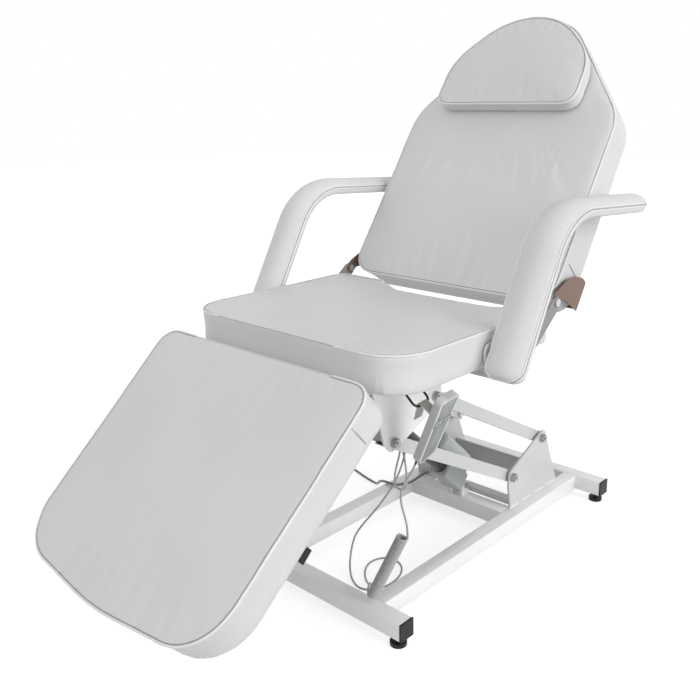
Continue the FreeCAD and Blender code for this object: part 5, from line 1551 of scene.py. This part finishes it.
@dataclass
class Handset:
    """The corded handset on its bail: a soft-edged body, a printed panel and a dark relief."""

    origin: Tuple[float, float, float] = (252.7, SEAT_Y + 169.3, SEAT_Z - 108.25)
    lean: float = 25.6
    roll: float = 5.2
    long: float = 172.0
    wide: float = 60.0
    thick: float = 17.4
    slant: float = 10.0
    corner: float = 14.0
    cord_radius: float = 2.3
    narrow: float = 0.86
    big_corner: float = 1.6
    rim: float = 5.2
    relief_side: float = 0.2
    relief_long: float = 8.0
    relief_hold: float = 4.0
    relief_sunk: float = 2.0
    relief_shape: Tuple[Point, ...] = ((0.0, 1.15), (0.3, 1.25), (0.62, 1.5), (1.0, 1.8))
    panel_gap: float = 6.0
    panel_sunk: float = 0.5
    panel_rise: float = 0.1
    keys_x: float = 172.0 * 0.135
    keys_side: float = 60.0 * 0.22
    key_rise: float = 1.4
    dot_radius: float = 2.1
    frame_half: float = 9.0
    frame_gap: float = 12.0
    frame_corner: float = 4.0
    frame_line: float = 0.45
    lamp: Point = (59.0, -3.0)
    lamp_rise: float = 0.3
    lamp_radius: float = 1.5
    disc_sides: int = 16
    disc_span: Tuple[float, float] = (0.02, 0.15)

    def place(self) -> Matrix:
        """Frame of the handset, from its back's middle, up its length and out of its face.

        Returns:
            The matrix, in metres.
        """
        lean = math.radians(self.lean)
        roll = math.radians(self.roll)
        across = Vector((0.0, math.cos(roll), math.sin(roll)))
        up = Vector((0.0, -math.sin(roll), math.cos(roll)))
        way = Vector((math.sin(lean), 0.0, 0.0)) + up * math.cos(lean)
        face = Vector((math.cos(lean), 0.0, 0.0)) - up * math.sin(lean)
        return basis(way, -across, face, Vector(self.origin) * MM)

    def relief_spot(self) -> Tuple[float, float, float]:
        """Narrow end of the strain relief in the handset's frame.

        Returns:
            The spot in millimetres.
        """
        side = self.wide * self.relief_side
        reach = self.cord_radius * self.relief_long - self.relief_hold
        edge = -self.long / 2 - self.slant * side / (self.wide / 2 * self.narrow)
        return (edge - reach, side, self.thick / 4)

    def relief_end(self) -> Tuple[float, float, float]:
        """Where the cord leaves the handset.

        Returns:
            The spot in the shared frame, in millimetres.
        """
        spot = self.place() @ (Vector(self.relief_spot()) * MM)
        return tuple(spot / MM)

    def leave(self) -> Tuple[float, float, float]:
        """Way in which the cord leaves the handset.

        Returns:
            A unit vector.
        """
        return tuple(-(self.place().to_3x3() @ Vector((1.0, 0.0, 0.0))))

    def outline(self, gap: float, step: float = 2.0) -> List[Point]:
        """Outline of the handset moved inward.

        Args:
            gap: how far inward.
            step: distance from point to point.

        Returns:
            The outline's points in millimetres.
        """
        a = self.long / 2
        b = self.wide / 2
        low = b * self.narrow
        corners = [(-a + self.slant, -low), (a, -b), (a, b), (-a - self.slant, low)]
        radii = [self.corner * self.big_corner - gap] + [self.corner - gap] * 3
        return rounded(inset(corners, [gap] * 4), radii, step)

    def slab(
        self, name: str, outline: Sequence[Point], low: float, high: float, edge: float = 0.0
    ) -> bpy.types.Object:
        """A flat piece with its rims rounded.

        Args:
            name: name of the piece.
            outline: its outline in the handset's frame.
            low: its underside.
            high: its top.
            edge: radius of its rims, or zero for sharp ones.

        Returns:
            The piece, in place.
        """
        bm = bmesh.new()
        rim = []
        for z in (low, high):
            rim.append([bm.verts.new(Vector((u, v, z)) * MM) for u, v in outline])
        count = len(outline)
        bm.faces.new(rim[0][::-1])
        bm.faces.new(rim[1])
        for i in range(count):
            k = (i + 1) % count
            bm.faces.new((rim[0][i], rim[0][k], rim[1][k], rim[1][i]))
        if edge > 0.0:
            rims = [e for e in bm.edges if abs(e.verts[0].co.z - e.verts[1].co.z) < 1e-6]
            bmesh.ops.bevel(
                bm, geom=rims, offset=edge * MM, affect="EDGES", segments=4, profile=0.5, material=-1
            )
        bmesh.ops.transform(bm, matrix=self.place(), verts=bm.verts)
        return solid(name, bm)

    def build(self) -> None:
        """Makes the body, panel, prints and relief."""
        body = self.slab("handset_body", self.outline(0.0), 0.0, self.thick, self.rim)
        mount(body, "carriage", "ivory_plastic", ("handset_back_shell", "handset_front_shell"))
        panel = self.slab(
            "handset_panel", self.outline(self.panel_gap), self.thick - self.panel_sunk,
            self.thick + self.panel_rise,
        )
        mount(panel, "carriage", "key_rubber", finish=PANEL)
        self.prints()
        spot = self.relief_spot()
        ring = []
        reach = self.cord_radius * self.relief_long - self.relief_sunk
        for share, radius in self.relief_shape:
            ring.append((spot[0] + share * reach, self.cord_radius * radius))
        relief = self.turned("handset_relief", ring, spot[1], spot[2])
        mount(relief, "carriage", "black_plastic", finish=RELIEF)

    def turned(
        self, name: str, profile: Sequence[Tuple[float, float]], side: float, height: float, sides: int = 16
    ) -> bpy.types.Object:
        """A round piece along the handset's length.

        Args:
            name: name of the piece.
            profile: pairs of place along it and radius.
            side: its axis across the handset.
            height: its axis above the handset's back.
            sides: corners round it.

        Returns:
            The piece, in place.
        """
        bm = bmesh.new()
        line = [bm.verts.new(Vector((x, side, height + r)) * MM) for x, r in profile]
        edges = [bm.edges.new((line[i], line[i + 1])) for i in range(len(line) - 1)]
        bmesh.ops.spin(
            bm, geom=line + edges, cent=Vector((0.0, side, height)) * MM, axis=(1.0, 0.0, 0.0),
            angle=2 * math.pi, steps=sides, use_merge=True,
        )
        bmesh.ops.transform(bm, matrix=self.place(), verts=bm.verts)
        return solid(name, bm)

    def prints(self) -> None:
        """Printed frame round the keys, a dot on each key and a small lamp."""
        top = self.thick + self.panel_rise
        half_x = self.frame_half
        half_y = self.keys_side + self.frame_gap
        corners = [
            (self.keys_x - half_x, -half_y), (self.keys_x + half_x, -half_y),
            (self.keys_x + half_x, half_y), (self.keys_x - half_x, half_y),
        ]
        place = self.place()
        outline = rounded(corners, [self.frame_corner] * 4, 2.0)
        line = [place @ (Vector((u, v, top)) * MM) for u, v in outline]
        border = tube("handset_frame", line, self.frame_line * MM, closed=True, sides=6)
        mount(border, "carriage", "key_rubber", finish=PRINT)
        for body, side in (("key_up", self.keys_side), ("key_down", -self.keys_side)):
            dot = self.disc("dot_" + body, self.keys_x, side, self.thick + self.key_rise, self.dot_radius)
            mount(dot, body, "key_rubber", finish=PRINT)
        lamp = self.disc("handset_lamp", *self.lamp, self.thick + self.lamp_rise, self.lamp_radius)
        mount(lamp, "carriage", "key_rubber", finish=PRINT)

    def disc(self, name: str, x: float, y: float, z: float, radius: float) -> bpy.types.Object:
        """A thin round print.

        Args:
            name: name of the piece.
            x: its place along the handset.
            y: its place across the handset.
            z: height of the face that it lies on.
            radius: its radius.

        Returns:
            The piece, in place.
        """
        ring = []
        for k in range(self.disc_sides):
            turn = 2 * math.pi * k / self.disc_sides
            ring.append((x + radius * math.cos(turn), y + radius * math.sin(turn)))
        return self.slab(name, ring, z - self.disc_span[0], z + self.disc_span[1])


@dataclass
class Trim:
    """Small sewn details of the pads."""

    place: Dict[str, Matrix]
    radius: float = 0.8
    leg_half: float = 306.0
    leg_taper: float = 18 / 505
    leg_at: float = 80.0
    leg_sunk: float = 1.2
    leg_fall: Tuple[Tuple[float, float, float], ...] = ((1.0, 0, 64), (1.004, 0, 40), (1.0, 1, 12))
    back_half: float = 302.4
    back_arc: Tuple[Point, ...] = ((104, 76), (102, 62), (98, 46), (91, 28))
    loop_mid: Tuple[float, float, float] = (256.0, -277.5, 584.0)
    loop_half: Tuple[float, float, float] = (5.0, 1.5, 14.0)
    loop_radius: float = 1.0
    loop_points: int = 24

    def line(self, pad: str, body: str, name: str, points: Sequence[Tuple[float, float, float]]) -> None:
        """A stitched seam on a pad's side, drawn as a thin grey line of painted crease shade.

        Args:
            pad: name of the pad's frame.
            body: body that the pad moves with.
            name: name of the seam.
            points: its points in the pad's frame, in millimetres.
        """
        line = [self.place[pad] @ (Vector(p) * MM) for p in points]
        mount(tube(name, line, self.radius * MM, sides=6), body, "white_vinyl", finish=CREASE_SHADE)

    def build(self) -> None:
        """Makes the seams and the pull loop."""
        near = -(self.leg_half - self.leg_taper * self.leg_at) + self.leg_sunk
        for word, side in (("near", near), ("far", -near)):
            fall = [(side * out, self.leg_at + v, z) for out, v, z in self.leg_fall]
            self.line("leg", "leg", "leg_seam_" + word, fall)
        for word, side in (("near", self.back_half), ("far", -self.back_half)):
            arc = [(side, v, z) for v, z in self.back_arc]
            self.line("back", "back", "back_seam_" + word, arc)
        x, y, z = self.loop_mid
        wide, deep, tall = self.loop_half
        loop = []
        for k in range(self.loop_points):
            turn = 2 * math.pi * k / self.loop_points
            spot = (x + wide * math.sin(turn), y - deep * math.cos(turn), z + tall * math.cos(turn))
            loop.append(Vector(spot) * MM)
        pull = tube("pull_loop", loop, self.loop_radius * MM, closed=True, sides=8)
        mount(pull, "carriage", "white_vinyl")


@dataclass
class Hardware:
    """Nuts over the pivot bolts and welds under the brackets."""

    nut_across: float = 17.0
    nut_span: Tuple[float, float] = (0.0, 4.2)
    washer_radius: float = 11.5
    washer_span: Tuple[float, float] = (-7.0, 0.6)
    thread_radius: float = 4.0
    thread_span: Tuple[float, float] = (4.0, 6.5)
    pin_reach: float = 0.014
    weld_radius: float = 2.1
    weld_count: int = 4
    weld_span: Tuple[float, float] = (0.12, 0.82)
    weld_pieces: int = 8
    pins: Tuple[Tuple[str, str, str, float, float], ...] = (
        ("low", "base_bolts", "base", 343.0, 146.0),
        ("high", "base_bolts", "base", 479.0, 211.0),
        ("front", "carriage_bolts", "carriage", -113.968, 392.052),
        ("rear", "carriage_bolts", "carriage", 22.032, 457.052),
    )

    def outer(self, node: str, y: float, z: float, sign: int) -> float:
        """Farthest x of a node's mesh near a pivot.

        Args:
            node: the node.
            y: the pivot's y in millimetres.
            z: the pivot's z in millimetres.
            sign: side of the chair.

        Returns:
            The x in metres.
        """
        best = 0.0
        for vert in frame["nodes"][node].data.vertices:
            if max(abs(vert.co.y - y * MM), abs(vert.co.z - z * MM)) < self.pin_reach:
                best = max(best, vert.co.x * sign)
        return best * sign

    def nut(self, name: str, body: str, x: float, y: float, z: float, sign: int) -> None:
        """A washer and hexagon nut with a stub of thread.

        Args:
            name: name of the piece.
            body: body that it moves with.
            x: face of the bolt in metres.
            y: the pivot's y in millimetres.
            z: the pivot's z in millimetres.
            sign: side of the chair.
        """
        bm = bmesh.new()
        turn = Matrix.Translation((x, y * MM, z * MM)) @ Matrix.Rotation(math.pi / 2, 4, "Y")
        rings = (
            (24, self.washer_radius, self.washer_span),
            (6, self.nut_across / 2 / math.cos(math.pi / 6), self.nut_span),
            (16, self.thread_radius, self.thread_span),
        )
        for sides, radius, (low, high) in rings:
            made = bmesh.ops.create_cone(
                bm, cap_ends=True, segments=sides, radius1=radius * MM, radius2=radius * MM,
                depth=(high - low) * MM,
            )
            shift = Matrix.Translation((0.0, 0.0, sign * (low + high) / 2 * MM))
            bmesh.ops.transform(bm, matrix=turn @ shift, verts=made["verts"])
        mount(solid(name, bm, smooth=False), body, "zinc_steel", finish=CHROME)

    def build(self) -> None:
        """Makes the nuts and welds."""
        for side in Side:
            hand = side.name.lower()
            for word, node, body, y, z in self.pins:
                x = self.outer(node, y, z, side.value)
                self.nut("nut_%s_%s" % (word, hand), body, x, y, z, side.value)
            low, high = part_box("bracket_plate_" + hand)
            x = high.x if side is Side.RIGHT else low.x
            span = (high.y - low.y) / self.weld_count
            for k in range(self.weld_count):
                start, end = (Vector((x, low.y + span * (k + s), low.z)) for s in self.weld_span)
                line = [start.lerp(end, s / self.weld_pieces) for s in range(self.weld_pieces + 1)]
                bead = tube("weld_%s_%d" % (hand, k), line, self.weld_radius * MM)
                mount(bead, "base", "white_paint")


class Fittings:
    """Every piece of the part that shows as it was packed."""

    def finish(self, name: str, slot: str) -> Finish:
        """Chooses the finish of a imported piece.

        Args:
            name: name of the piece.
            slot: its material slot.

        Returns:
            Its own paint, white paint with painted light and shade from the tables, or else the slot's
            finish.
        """
        if name in OWN_PAINT_AND_SHADE:
            return OWN_PAINT_AND_SHADE[name]
        if slot == "white_paint":
            for start, paint in LIT_AND_SHADED_WHITES:
                if name.startswith(start):
                    return paint
        return FINISHES[slot]

    def build(self) -> None:
        """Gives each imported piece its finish."""
        for row in frame["record"]["subparts"]:
            piece = frame["nodes"][row["node"]]
            if piece.hide_render:
                continue
            dress(piece, self.finish(piece.name, row["material_slot"]))
            LOG.info("piece %s keeps its packed shape", piece.name)


def main() -> None:
    """Builds the scene in order."""
    logging.basicConfig(level=logging.INFO, format="%(name)s: %(message)s")
    Eye().build()
    Studio().build()
    handset = Handset()
    HandsetCord(relief_end=handset.relief_end(), leave=handset.leave()).build()
    MainsLead().build()
    Upholstery().build()
    Trim(place=Upholstery().frames()).build()
    handset.build()
    BaseFrame().build()
    Hardware().build()
    Fittings().build()


if __name__ == "__main__":
    main()
